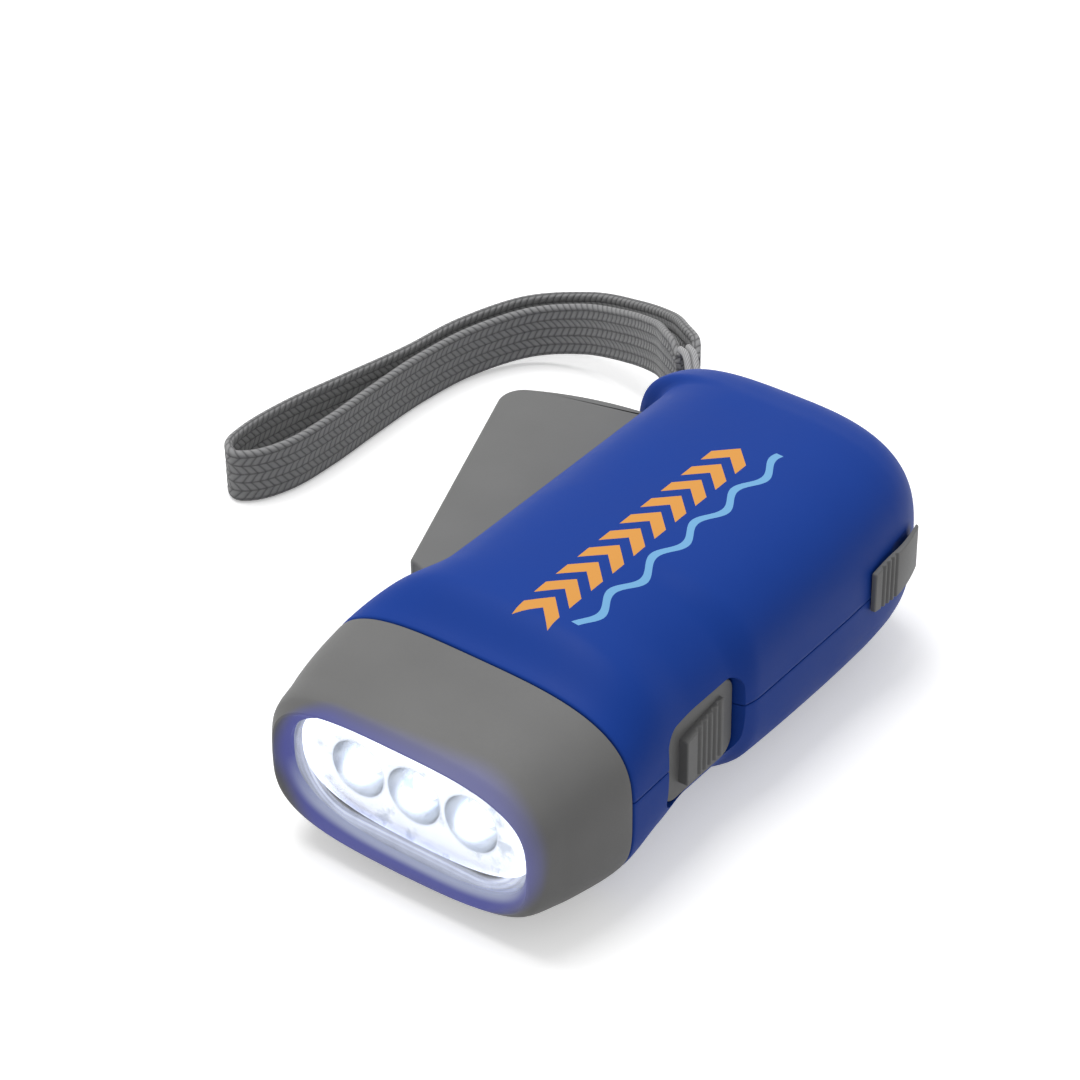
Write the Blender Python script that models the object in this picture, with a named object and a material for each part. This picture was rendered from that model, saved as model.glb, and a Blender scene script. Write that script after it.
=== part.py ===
"""A hand-squeezed dynamo flashlight with three lamps, modelled as an assembly of its real pieces.

The torch lies on its underside: +Z is up, the lamp head looks along -Y, the squeeze lever swings out
on the -X side, and both slide switches are on the +X side. The origin is on the underside, below the
middle of the body. All lengths are in metres.
"""

import math

import bmesh
import bpy
import numpy as np
from mathutils import Matrix, Vector

MM = 0.001
DEG = math.pi / 180

# Driving sizes of the body
BODY_LENGTH = 106 * MM
BODY_WIDTH = 58.6 * MM
BODY_HEIGHT = 38.6 * MM
WALL = 2.2 * MM
GAP = 0.3 * MM
OVERRUN = 5 * MM
UNDERSIDE_CUT = 0.15 * MM
RING_POINT_COUNT = 44

HEAD_Y = -BODY_LENGTH / 2
TAIL_Y = BODY_LENGTH / 2
HALF_WIDTH = BODY_WIDTH / 2
MID_Z = BODY_HEIGHT / 2

# The body's outline at stations from the head to the tail: how far along the length, the reach to the
# right and to the left of the centre line over half the width, the top and the underside over the
# height, and how square the section is on its right and on its left side.
HULL_SHARES = (
    (0.000, 0.785, 0.800, 0.712, 0.128, 3.3, 3.3),
    (0.019, 0.836, 0.857, 0.754, 0.084, 3.3, 3.3),
    (0.101, 0.935, 0.942, 0.829, 0.034, 3.3, 3.3),
    (0.184, 0.977, 0.977, 0.868, 0.013, 3.3, 3.3),
    (0.272, 0.970, 0.850, 0.990, 0.004, 2.9, 3.2),
    (0.347, 0.960, 0.748, 1.000, 0.000, 2.5, 3.2),
    (0.430, 0.960, 0.744, 1.000, 0.000, 2.5, 3.2),
    (0.485, 0.998, 0.744, 1.000, 0.000, 3.0, 3.2),
    (0.692, 1.000, 0.744, 1.000, 0.000, 3.2, 3.2),
    (0.792, 0.992, 0.744, 1.000, 0.000, 3.2, 3.2),
    (0.868, 0.968, 0.746, 0.999, 0.001, 3.2, 3.2),
    (0.892, 0.952, 0.756, 0.997, 0.003, 3.2, 3.2),
    (0.914, 0.932, 0.906, 0.988, 0.010, 3.2, 3.2),
    (0.953, 0.867, 0.888, 0.961, 0.039, 3.1, 3.1),
    (0.989, 0.676, 0.730, 0.870, 0.130, 3.0, 3.0),
    (1.000, 0.522, 0.590, 0.767, 0.233, 3.0, 3.0),
)
SHELL_STATION_SHARES = (
    0.21, 0.24, 0.272, 0.31, 0.347, 0.39, 0.43, 0.458, 0.485, 0.55, 0.62, 0.692, 0.76,
    0.83, 0.868, 0.886, 0.896, 0.906, 0.918, 0.936, 0.955, 0.972, 0.985, 0.994, 1.0,
)


def clear_scene():
    for old in list(bpy.data.objects):
        bpy.data.objects.remove(old, do_unlink=True)


def material(name, colour, roughness, metallic=0.0):
    made = bpy.data.materials.new(name)
    made.use_nodes = True
    shader = made.node_tree.nodes["Principled BSDF"]
    shader.inputs["Base Color"].default_value = (*colour, 1.0)
    shader.inputs["Roughness"].default_value = roughness
    shader.inputs["Metallic"].default_value = metallic
    made.diffuse_color = (*colour, 1.0)
    return made


clear_scene()
BLUE_SOFT = material("blue_soft_touch", (0.030, 0.075, 0.400), 0.55)
GREY_PLASTIC = material("grey_plastic", (0.120, 0.120, 0.125), 0.45)
DARK_PLASTIC = material("dark_plastic", (0.035, 0.035, 0.038), 0.5)
CLEAR = material("clear_plastic", (0.850, 0.900, 0.950), 0.05)
REFLECTIVE = material("vacuum_metallised", (0.800, 0.810, 0.830), 0.12, 1.0)
LAMP_EPOXY = material("lamp_epoxy", (0.900, 0.930, 1.000), 0.1)
NYLON = material("white_nylon", (0.750, 0.740, 0.700), 0.4)
STEEL = material("steel", (0.550, 0.550, 0.560), 0.3, 1.0)
MAGNET = material("ferrite", (0.060, 0.060, 0.065), 0.6)
IRON = material("laminated_iron", (0.250, 0.240, 0.230), 0.5, 1.0)
COPPER = material("enamelled_copper", (0.450, 0.150, 0.060), 0.35, 1.0)
BOARD = material("circuit_board", (0.020, 0.180, 0.070), 0.45)
WEBBING = material("grey_webbing", (0.300, 0.300, 0.300), 0.8)


def add(name, mesh, finish=None, smooth=True):
    """An object for a mesh. Without a finish it is a helper, which isn't part of the model."""
    made = bpy.data.objects.new(name, mesh)
    bpy.context.scene.collection.objects.link(made)
    if finish is None:
        made.hide_render = True
        made.display_type = "WIRE"
    else:
        mesh.materials.append(finish)
    if smooth and len(mesh.polygons):
        mesh.shade_smooth()
        mesh.set_sharp_from_angle(angle=40 * DEG)
    return made


def mesh_of(name, points, faces):
    mesh = bpy.data.meshes.new(name)
    mesh.from_pydata([tuple(p) for p in points], [], faces)
    edit = bmesh.new()
    edit.from_mesh(mesh)
    bmesh.ops.recalc_face_normals(edit, faces=edit.faces)
    edit.to_mesh(mesh)
    edit.free()
    return mesh


def loft(name, rings, finish=None, joined_ends=False):
    """A skin through rings with equal numbers of points. Its ends are capped, or joined to each other."""
    count = len(rings[0])
    points = [p for ring in rings for p in ring]
    pairs = list(zip(range(len(rings)), range(1, len(rings))))
    if joined_ends:
        pairs.append((len(rings) - 1, 0))
    faces = []
    for a, b in pairs:
        for i in range(count):
            j = (i + 1) % count
            faces.append((a * count + i, a * count + j, b * count + j, b * count + i))
    if not joined_ends:
        last = (len(rings) - 1) * count
        faces.append(tuple(range(count)))
        faces.append(tuple(last + i for i in range(count)))
    return add(name, mesh_of(name, points, faces), finish)


def prism(name, outline, low, high, finish=None):
    """An outline in plan, extruded from one height to another."""
    rings = [[(x, y, z) for x, y in outline] for z in (low, high)]
    return loft(name, rings, finish)


def block(name, low, high, finish=None):
    outline = ((low[0], low[1]), (high[0], low[1]), (high[0], high[1]), (low[0], high[1]))
    return prism(name, outline, low[2], high[2], finish)


def circle(centre, radius, count, start=0.0):
    turns = [start + 2 * math.pi * i / count for i in range(count)]
    return [(centre[0] + radius * math.cos(a), centre[1] + radius * math.sin(a)) for a in turns]


def turned(name, centre, profile, count, finish=None):
    """A turned piece on a vertical axis. Its profile is radii and heights, from the bottom to the top."""
    rings = []
    for radius, height in profile:
        rings.append([(x, y, height) for x, y in circle(centre, radius, count)])
    return loft(name, rings, finish)


def rod(name, centre, radius, low, high, count=16, finish=None):
    return turned(name, centre, ((radius, low), (radius, high)), count, finish)


def boolean(piece, other, operation):
    change = piece.modifiers.new(f"{operation} {other.name}", "BOOLEAN")
    change.operation = operation
    change.object = other
    change.solver = "EXACT"
    return piece


def cut(piece, *cutters):
    for cutter in cutters:
        boolean(piece, cutter, "DIFFERENCE")
    return piece


def join(piece, *others):
    for other in others:
        boolean(piece, other, "UNION")
    return piece


def set_origin(piece, point):
    """Moves a piece's origin to a point, such as one on its joint's axis, and leaves its shape in place."""
    piece.data.transform(Matrix.Translation(-Vector(point)))
    piece.location = Vector(point)
    return piece


def monotone(knots, values, at):
    """A smooth curve through the knots that doesn't overshoot, by cubic Hermite pieces."""
    knots, values = np.asarray(knots, float), np.asarray(values, float)
    steps = np.diff(knots)
    slopes = np.diff(values) / steps
    tangents = np.zeros(len(knots))
    for i in range(1, len(knots) - 1):
        if slopes[i - 1] * slopes[i] > 0:
            before, after = 2 * steps[i] + steps[i - 1], steps[i] + 2 * steps[i - 1]
            tangents[i] = (before + after) / (before / slopes[i - 1] + after / slopes[i])
    tangents[0], tangents[-1] = slopes[0], slopes[-1]
    i = np.clip(np.searchsorted(knots, at, side="right") - 1, 0, len(steps) - 1)
    t = (at - knots[i]) / steps[i]
    return (
        (1 + 2 * t) * (1 - t) ** 2 * values[i]
        + t * (1 - t) ** 2 * steps[i] * tangents[i]
        + t * t * (3 - 2 * t) * values[i + 1]
        + t * t * (t - 1) * steps[i] * tangents[i + 1]
    )


def squared_ring(y, right, left, top, low, square_right, square_left, flat=None):
    """A rounded section across the body: a super-ellipse with its own reach and squareness to each side.

    Nothing of it is lower than flat, so that the body has a real flat to lie on.
    """
    ring = []
    middle, half = (top + low) / 2, (top - low) / 2
    for i in range(RING_POINT_COUNT):
        turn = 2 * math.pi * i / RING_POINT_COUNT
        across, up = math.cos(turn), math.sin(turn)
        reach, square = (right, square_right) if across > 0 else (left, square_left)
        x = math.copysign(abs(across) ** (2 / square), across) * reach
        z = middle + math.copysign(abs(up) ** (2 / square), up) * half
        if flat is not None:
            z = max(z, flat)
        ring.append((x, y, z))
    return ring


def hull_ring(y, inset=0.0, read_at=None):
    """The body's section at y, drawn in by inset. read_at takes the outline from another place along it."""
    share = ((y if read_at is None else read_at) - HEAD_Y) / BODY_LENGTH
    table = np.array(HULL_SHARES)
    right, left, top, low, square_right, square_left = (
        float(monotone(table[:, 0], table[:, k], share)) for k in range(1, 7)
    )
    return squared_ring(
        y,
        right * HALF_WIDTH - inset,
        left * HALF_WIDTH - inset,
        top * BODY_HEIGHT - inset,
        low * BODY_HEIGHT - UNDERSIDE_CUT + inset,
        square_right,
        square_left,
        inset,
    )


def along(share):
    return HEAD_Y + share * BODY_LENGTH


# Head and seam sizes, shared by the bezel, the lens and the shells
SEAM_Y = HEAD_Y + 19.5 * MM
SPIGOT_LENGTH = 5.2 * MM
SPIGOT_WALL = 1.5 * MM
BEZEL_SKIRT = 1.2 * MM
LENS_WIDTH = 42.8 * MM
LENS_HEIGHT = 18.4 * MM
LENS_SQUARENESS = 3.0
LENS_Z = 17.3 * MM
LENS_RECESS = 2.8 * MM
LENS_LEDGE = 0.8 * MM
LENS_THICKNESS = 1.5 * MM
LENS_OVERLAP = 0.85 * MM
LENS_PLAY = 0.15 * MM
LIP_FLAT = 0.5 * MM

LENS_FRONT_Y = HEAD_Y + LENS_RECESS
SPIGOT_Y = SEAM_Y - SPIGOT_LENGTH


def lens_ring(y, grow=0.0):
    half_wide, half_high = LENS_WIDTH / 2 + grow, LENS_HEIGHT / 2 + grow
    return squared_ring(
        y, half_wide, half_wide, LENS_Z + half_high, LENS_Z - half_high, LENS_SQUARENESS, LENS_SQUARENESS
    )


# Head bezel: grey ring round the window, a rounded nose outside and a sloping lip inside
BEZEL_STATION_SHARES = (0.155, 0.12, 0.085, 0.055, 0.032, 0.019, 0.010, 0.004, 0.0)
BEZEL_INNER_STATION_SHARES = (0.07, 0.10, 0.125)


def make_bezel():
    rings = [hull_ring(SEAM_Y - GAP / 2)]
    rings += [hull_ring(along(s)) for s in BEZEL_STATION_SHARES]
    rings.append(hull_ring(HEAD_Y, LIP_FLAT))
    rings.append(lens_ring(LENS_FRONT_Y - LENS_LEDGE))
    rings.append(lens_ring(LENS_FRONT_Y))
    rings.append(lens_ring(LENS_FRONT_Y, LENS_OVERLAP + LENS_PLAY))
    rings.append(lens_ring(LENS_FRONT_Y + LENS_THICKNESS + GAP, LENS_OVERLAP + LENS_PLAY))
    rings += [hull_ring(along(s), WALL) for s in BEZEL_INNER_STATION_SHARES]
    rings.append(hull_ring(SPIGOT_Y - GAP, WALL))
    rings.append(hull_ring(SPIGOT_Y - GAP, BEZEL_SKIRT))
    rings.append(hull_ring(SEAM_Y - GAP / 2, BEZEL_SKIRT))
    return loft("head_bezel", rings, GREY_PLASTIC, joined_ends=True)


head_bezel = make_bezel()


def make_lens():
    front, back = LENS_FRONT_Y + LENS_PLAY, LENS_FRONT_Y + LENS_THICKNESS
    return loft("lens", [lens_ring(y, LENS_OVERLAP) for y in (front, back)], CLEAR)


lens = make_lens()

# Lamps: three 5 mm lamps in a row, their cups in one reflector, and the board behind them
LAMP_COUNT = 3
LAMP_PITCH = 10.7 * MM
LAMP_RADIUS = 2.5 * MM
LAMP_FLANGE_RADIUS = 2.9 * MM
LAMP_FLANGE = 1.0 * MM
LAMP_BODY = 5.6 * MM
LAMP_SIDE_COUNT = 16
CUP_MOUTH_RADIUS = 4.9 * MM
CUP_THROAT_RADIUS = 2.9 * MM
REFLECTOR_DEPTH = 5.6 * MM
REFLECTOR_MARGIN = 0.5 * MM
REFLECTOR_FLOOR = 1.2 * MM
BOARD_THICKNESS = 1.2 * MM
LAMP_BOARD_WIDTH = 42 * MM
LAMP_BOARD_HEIGHT = 17 * MM

REFLECTOR_FRONT_Y = LENS_FRONT_Y + LENS_THICKNESS + GAP
REFLECTOR_BACK_Y = REFLECTOR_FRONT_Y + REFLECTOR_DEPTH
LAMP_BOARD_Y = REFLECTOR_BACK_Y + LAMP_FLANGE + 2 * GAP


def lamp_x(index):
    return (index - (LAMP_COUNT - 1) / 2) * LAMP_PITCH


def turned_forward(name, centre, profile, count, finish=None):
    """A turned piece on an axis along the body. Its profile is radii and places along Y."""
    rings = [[(x, y, z) for x, z in circle(centre, radius, count)] for radius, y in profile]
    return loft(name, rings, finish)


def make_reflector():
    body = loft(
        "reflector",
        [lens_ring(REFLECTOR_FRONT_Y), lens_ring(REFLECTOR_BACK_Y, -REFLECTOR_MARGIN)],
        REFLECTIVE,
    )
    for i in range(LAMP_COUNT):
        profile = (
            (CUP_MOUTH_RADIUS, REFLECTOR_FRONT_Y - OVERRUN),
            (CUP_MOUTH_RADIUS, REFLECTOR_FRONT_Y),
            ((CUP_MOUTH_RADIUS + CUP_THROAT_RADIUS) / 2 + GAP, REFLECTOR_FRONT_Y + REFLECTOR_DEPTH / 2),
            (CUP_THROAT_RADIUS, REFLECTOR_BACK_Y - REFLECTOR_FLOOR),
            (CUP_THROAT_RADIUS, REFLECTOR_BACK_Y + OVERRUN),
        )
        cut(body, turned_forward(f"cup_cutter_{i}", (lamp_x(i), LENS_Z), profile, 24))
    return body


def make_lamp(name, index):
    front = REFLECTOR_BACK_Y + GAP + LAMP_FLANGE - LAMP_BODY
    nose = LAMP_RADIUS
    profile = []
    for turn in (15 * DEG, 45 * DEG, 75 * DEG):
        profile.append((LAMP_RADIUS * math.sin(turn), front + nose * (1 - math.cos(turn))))
    profile += [
        (LAMP_RADIUS, front + nose),
        (LAMP_RADIUS, REFLECTOR_BACK_Y + GAP),
        (LAMP_FLANGE_RADIUS, REFLECTOR_BACK_Y + GAP),
        (LAMP_FLANGE_RADIUS, REFLECTOR_BACK_Y + GAP + LAMP_FLANGE),
    ]
    return turned_forward(name, (lamp_x(index), LENS_Z), profile, LAMP_SIDE_COUNT, LAMP_EPOXY)


def make_lamp_board():
    half_wide, half_high = LAMP_BOARD_WIDTH / 2, LAMP_BOARD_HEIGHT / 2
    low = (-half_wide, LAMP_BOARD_Y, LENS_Z - half_high)
    high = (half_wide, LAMP_BOARD_Y + BOARD_THICKNESS, LENS_Z + half_high)
    return block("led_board", low, high, BOARD)


reflector = make_reflector()
led_left = make_lamp("led_left", 0)
led_middle = make_lamp("led_middle", 1)
led_right = make_lamp("led_right", 2)
led_board = make_lamp_board()

# Lever: a hollow grip that swings on an upright pin and is drawn here as it stands when squeezed shut
PIVOT = (-18 * MM, -14 * MM)
LEVER_FACE_X = -28.2 * MM
LEVER_FRONT_Y = -10.6 * MM
LEVER_SWEEP_RADIUS = 56.4 * MM
LEVER_OPEN = 21 * DEG
LEVER_HEIGHT = 16.4 * MM
LEVER_PLATE = 1.8 * MM
LEVER_CORNER = 4.5 * MM
LEVER_FRONT_CORNER = 1.2 * MM
LEVER_INNER_TURN = 20 * DEG
LEVER_HUB_RADIUS = 3.4 * MM
LEVER_LIP = 2.2 * MM
PIVOT_PIN_RADIUS = 1.5 * MM
PIVOT_PIN_REACH = 11 * MM
PIN_FIT = 0.15 * MM
SPRING_WIRE_RADIUS = 0.3 * MM
SPRING_COIL_RADIUS = 3.1 * MM
SPRING_PITCH = 0.9 * MM
SPRING_LOW_Z = 21.5 * MM
SPRING_ROOM = 0.35 * MM
RUNNING_PLAY = 0.25 * MM

LEVER_Z = MID_Z
LEVER_LOW_Z = LEVER_Z - LEVER_HEIGHT / 2
LEVER_HIGH_Z = LEVER_Z + LEVER_HEIGHT / 2


def polar(radius, turn):
    """A point about the lever's pivot. The turn is measured from +Y towards +X, as the lever closes."""
    return (PIVOT[0] + radius * math.sin(turn), PIVOT[1] + radius * math.cos(turn))


def arc_points(centre, radius, start, end, count):
    turns = [start + (end - start) * i / (count - 1) for i in range(count)]
    return [(centre[0] + radius * math.sin(a), centre[1] + radius * math.cos(a)) for a in turns]


def lever_outline(inset, inner_turn):
    """The lever in plan: hub, front corner, grip face, rounded tail corner, and an end on the sweep."""
    face, sweep = LEVER_FACE_X + inset, LEVER_SWEEP_RADIUS - inset
    corner = LEVER_CORNER - inset
    across = face + corner - PIVOT[0]
    centre = (face + corner, PIVOT[1] + math.sqrt((sweep - corner) ** 2 - across**2))
    turn = math.atan2(centre[0] - PIVOT[0], centre[1] - PIVOT[1])
    outline = arc_points(centre, corner, -90 * DEG, turn, 7)
    outline += arc_points(PIVOT, sweep, turn, inner_turn, 10)[1:]
    front = LEVER_FRONT_Y + inset
    nose = (face + LEVER_FRONT_CORNER, front + LEVER_FRONT_CORNER)
    hub = LEVER_HUB_RADIUS - inset
    outline += [polar(hub, turn) for turn in (90 * DEG + inner_turn, 135 * DEG, 180 * DEG, 225 * DEG)]
    outline += arc_points(nose, LEVER_FRONT_CORNER, -170 * DEG, -90 * DEG, 4)
    return outline


def opened(points):
    """Turns points of the closed lever about the pivot to where it stands when it is let go."""
    turned_points = []
    for x, y in points:
        dx, dy = x - PIVOT[0], y - PIVOT[1]
        turn, radius = math.atan2(dx, dy) - LEVER_OPEN, math.hypot(dx, dy)
        turned_points.append(polar(radius, turn))
    return turned_points


# Rack: a toothed arc inside the lever, with a foot held between the lever's bosses
RACK_MODULE = 1.0 * MM
RACK_PITCH_RADIUS = 48 * MM
RACK_TEETH_START = -0.6 * DEG
RACK_TEETH_END = 30.4 * DEG
RACK_END = 31.5 * DEG
RACK_FOOT_START = -25 * DEG
RACK_WEB = 4 * MM
RACK_FOOT_CLEARANCE = 2.8 * MM
RACK_FOOT_END = -3 * DEG
RACK_THICKNESS = 3.6 * MM
RACK_LOW_Z = 16.8 * MM
RACK_BOSS_TURNS = (-21 * DEG, -12.5 * DEG)
RACK_BOSS_INSET = 2.8 * MM
RACK_BOSS_RADIUS = 2.0 * MM
RACK_PEG_RADIUS = 0.9 * MM
LOCK_PEG_RADIUS = 1.1 * MM
LOCK_PEG_INSET = 1.8 * MM
LOCK_PEG_TURN = 29.5 * DEG
LOCK_PEG_HEIGHT = 3.0 * MM

RACK_HIGH_Z = RACK_LOW_Z + RACK_THICKNESS
RACK_OUTER_RADIUS = RACK_PITCH_RADIUS + RACK_WEB
RACK_FOOT_RADIUS = LEVER_SWEEP_RADIUS - RACK_FOOT_CLEARANCE
RACK_BOSS_CENTRE_RADIUS = RACK_FOOT_RADIUS - RACK_BOSS_INSET
LOCK_PEG_CENTRE_RADIUS = RACK_OUTER_RADIUS - LOCK_PEG_INSET


def make_lever():
    """The grip: two plates and an outer wall, hollow between, a hub on the pin, and bosses for the rack."""
    outline = opened(lever_outline(0.0, LEVER_INNER_TURN))
    body = prism("squeeze_lever", outline, LEVER_LOW_Z, LEVER_HIGH_Z, GREY_PLASTIC)
    rounding = body.modifiers.new("edges", "BEVEL")
    rounding.width = LEVER_FRONT_CORNER / 2
    rounding.segments = 2
    rounding.limit_method = "ANGLE"
    rounding.angle_limit = 60 * DEG
    low, high = LEVER_LOW_Z + LEVER_PLATE, LEVER_HIGH_Z - LEVER_PLATE
    hollow = prism("lever_hollow", opened(hollow_outline()), low, high)
    hub = rod("lever_hub_core", PIVOT, LEVER_HUB_RADIUS, low - OVERRUN, high + OVERRUN)
    cut(hollow, hub)
    for i, turn in enumerate(RACK_BOSS_TURNS):
        centre = polar(RACK_BOSS_CENTRE_RADIUS, turn)
        seat, cap = RACK_LOW_Z - GAP, RACK_HIGH_Z + GAP
        profile = (
            (RACK_BOSS_RADIUS, low - OVERRUN),
            (RACK_BOSS_RADIUS, seat),
            (RACK_PEG_RADIUS, seat),
            (RACK_PEG_RADIUS, cap - GAP),
        )
        cut(hollow, turned(f"rack_boss_low_{i}", centre, profile, 12))
        cut(hollow, rod(f"rack_boss_high_{i}", centre, RACK_BOSS_RADIUS, cap, high + OVERRUN, 12))
    cut(body, hollow)
    groove_low = SPRING_LOW_Z - SPRING_WIRE_RADIUS - GAP
    groove_high = SPRING_LOW_Z + 3 * SPRING_PITCH + SPRING_WIRE_RADIUS + GAP
    groove_reach = SPRING_WIRE_RADIUS + SPRING_ROOM
    groove = rod("spring_groove", PIVOT, SPRING_COIL_RADIUS + groove_reach, groove_low, groove_high, 24)
    core_radius = SPRING_COIL_RADIUS - SPRING_WIRE_RADIUS - GAP / 2
    core = rod("spring_core", PIVOT, core_radius, groove_low - OVERRUN, groove_high + OVERRUN)
    cut(body, cut(groove, core))
    bore_radius = PIVOT_PIN_RADIUS + RUNNING_PLAY
    bore = rod("lever_bore", PIVOT, bore_radius, LEVER_LOW_Z - OVERRUN, LEVER_HIGH_Z + OVERRUN)
    cut(body, bore)
    return set_origin(body, (*PIVOT, LEVER_Z))


def hollow_outline():
    """The lever's inside in plan, which runs out past its inner edge and stops short of the end wall."""
    face, sweep = LEVER_FACE_X + LEVER_PLATE, LEVER_SWEEP_RADIUS - LEVER_LIP
    corner = LEVER_CORNER - LEVER_PLATE
    across = face + corner - PIVOT[0]
    centre = (face + corner, PIVOT[1] + math.sqrt((sweep - corner) ** 2 - across**2))
    turn = math.atan2(centre[0] - PIVOT[0], centre[1] - PIVOT[1])
    outline = arc_points(centre, corner, -90 * DEG, turn, 5)
    outline += arc_points(PIVOT, sweep, turn, LEVER_INNER_TURN, 10)[1:]
    outline += [polar(sweep, 2 * LEVER_INNER_TURN), polar(LEVER_HUB_RADIUS * 2, 3 * LEVER_INNER_TURN)]
    outline += [polar(LEVER_HUB_RADIUS + OVERRUN, 90 * DEG), (PIVOT[0] + LEVER_HUB_RADIUS, PIVOT[1])]
    outline += [(face, LEVER_FRONT_Y + LEVER_PLATE)]
    return outline


squeeze_lever = make_lever()


# Gear teeth: involute flanks, by the unwinding of a taut string from the base circle
PRESSURE_ANGLE = 25 * DEG
ADDENDUM_SHARE = 0.8
DEDENDUM_SHARE = 1.1
GEAR_BACKLASH = 0.10 * MM
FLANK_POINT_COUNT = 4


def involute(angle):
    return math.tan(angle) - angle


def flank_turn(radius, base_radius):
    """How far round the flank has come at a radius, from where it leaves the base circle."""
    if radius <= base_radius:
        return 0.0
    return involute(math.acos(base_radius / radius))


def gear_outline(centre, teeth, module, tooth_at):
    """A spur gear in plan, with one tooth's middle at the turn tooth_at, measured from +X anticlockwise."""
    pitch = teeth * module / 2
    base = pitch * math.cos(PRESSURE_ANGLE)
    tip, root = pitch + ADDENDUM_SHARE * module, pitch - DEDENDUM_SHARE * module
    half_pitch_turn = math.pi / (2 * teeth) - GEAR_BACKLASH / pitch / 2
    half_base_turn = half_pitch_turn + flank_turn(pitch, base)
    low = max(base, root)
    radii = [low + (tip - low) * i / (FLANK_POINT_COUNT - 1) for i in range(FLANK_POINT_COUNT)]
    if root < base:
        radii = [root] + radii
    outline = []
    for k in range(teeth):
        middle = tooth_at + 2 * math.pi * k / teeth
        rising = [(r, middle - half_base_turn + flank_turn(r, base)) for r in radii]
        falling = [(r, middle + half_base_turn - flank_turn(r, base)) for r in reversed(radii)]
        outline += [(centre[0] + r * math.cos(a), centre[1] + r * math.sin(a)) for r, a in rising + falling]
    return outline


def rack_outline():
    """The toothed arc in plan: teeth point in to the pivot, each the gap of a gear of the same size."""
    teeth = round(2 * RACK_PITCH_RADIUS / RACK_MODULE)
    base = RACK_PITCH_RADIUS * math.cos(PRESSURE_ANGLE)
    tip = RACK_PITCH_RADIUS - ADDENDUM_SHARE * RACK_MODULE
    root = RACK_PITCH_RADIUS + DEDENDUM_SHARE * RACK_MODULE
    step = 2 * math.pi / teeth
    half = step / 4 - GEAR_BACKLASH / RACK_PITCH_RADIUS / 2
    at_pitch = flank_turn(RACK_PITCH_RADIUS, base)
    radii = [tip + (root - tip) * i / (FLANK_POINT_COUNT - 1) for i in range(FLANK_POINT_COUNT)]
    first = math.ceil((RACK_TEETH_START - RACK_MESH_TURN) / step)
    last = math.floor((RACK_TEETH_END - RACK_MESH_TURN) / step)
    outline = [polar(root, RACK_FOOT_START)]
    for k in range(first, last + 1):
        middle = RACK_MESH_TURN + k * step
        widths = [half + flank_turn(r, base) - at_pitch for r in radii]
        outline += [polar(r, middle - w) for r, w in reversed(list(zip(radii, widths)))]
        outline += [polar(r, middle + w) for r, w in zip(radii, widths)]
    outline += [polar(root, RACK_END)]
    outline += arc_points(PIVOT, RACK_OUTER_RADIUS, RACK_END, RACK_FOOT_END, 16)
    outline += arc_points(PIVOT, RACK_FOOT_RADIUS, RACK_FOOT_END, RACK_FOOT_START, 8)
    return outline


# Gear train: rack to drive gear, drive gear to idler, idler to rotor pinion
DRIVE_TURN = 25.5 * DEG
DRIVE_PINION_TEETH = 10
DRIVE_WHEEL_TEETH = 28
DRIVE_WHEEL_MODULE = 0.8 * MM
IDLER_PINION_TEETH = 10
IDLER_WHEEL_TEETH = 32
IDLER_WHEEL_MODULE = 0.7 * MM
ROTOR_PINION_TEETH = 10
IDLER_TURN = -68 * DEG
ROTOR_TURN = -80 * DEG
WHEEL_THICKNESS = 2.2 * MM
PINION_OVERHANG = 0.2 * MM
GEAR_HUB_RADIUS = 2.4 * MM
AXLE_RADIUS = 1.0 * MM
AXLE_SIDE_COUNT = 12
DRIVE_WHEEL_LOW_Z = 13.4 * MM
IDLER_WHEEL_LOW_Z = 22.0 * MM

DRIVE_CENTRE_DISTANCE = RACK_PITCH_RADIUS - DRIVE_PINION_TEETH * RACK_MODULE / 2
IDLER_CENTRE_DISTANCE = (DRIVE_WHEEL_TEETH + IDLER_PINION_TEETH) * DRIVE_WHEEL_MODULE / 2
ROTOR_CENTRE_DISTANCE = (IDLER_WHEEL_TEETH + ROTOR_PINION_TEETH) * IDLER_WHEEL_MODULE / 2
RACK_MESH_TURN = DRIVE_TURN
DRIVE_AXIS = polar(DRIVE_CENTRE_DISTANCE, DRIVE_TURN)
IDLER_AXIS = (
    DRIVE_AXIS[0] + IDLER_CENTRE_DISTANCE * math.cos(IDLER_TURN),
    DRIVE_AXIS[1] + IDLER_CENTRE_DISTANCE * math.sin(IDLER_TURN),
)
ROTOR_AXIS = (
    IDLER_AXIS[0] + ROTOR_CENTRE_DISTANCE * math.cos(ROTOR_TURN),
    IDLER_AXIS[1] + ROTOR_CENTRE_DISTANCE * math.sin(ROTOR_TURN),
)
DRIVE_PINION_TURN = 90 * DEG - DRIVE_TURN + math.pi / DRIVE_PINION_TEETH
DRIVE_WHEEL_HIGH_Z = DRIVE_WHEEL_LOW_Z + WHEEL_THICKNESS
IDLER_WHEEL_HIGH_Z = IDLER_WHEEL_LOW_Z + WHEEL_THICKNESS
DRIVE_PINION_LOW_Z = RACK_LOW_Z - 2 * PINION_OVERHANG
DRIVE_PINION_HIGH_Z = RACK_HIGH_Z + 2 * PINION_OVERHANG
IDLER_PINION_LOW_Z = DRIVE_WHEEL_LOW_Z - PINION_OVERHANG
IDLER_PINION_HIGH_Z = DRIVE_WHEEL_HIGH_Z + PINION_OVERHANG
ROTOR_PINION_LOW_Z = IDLER_WHEEL_LOW_Z - PINION_OVERHANG
ROTOR_PINION_HIGH_Z = IDLER_WHEEL_HIGH_Z + PINION_OVERHANG


def half_tooth(teeth):
    return math.pi / teeth


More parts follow.
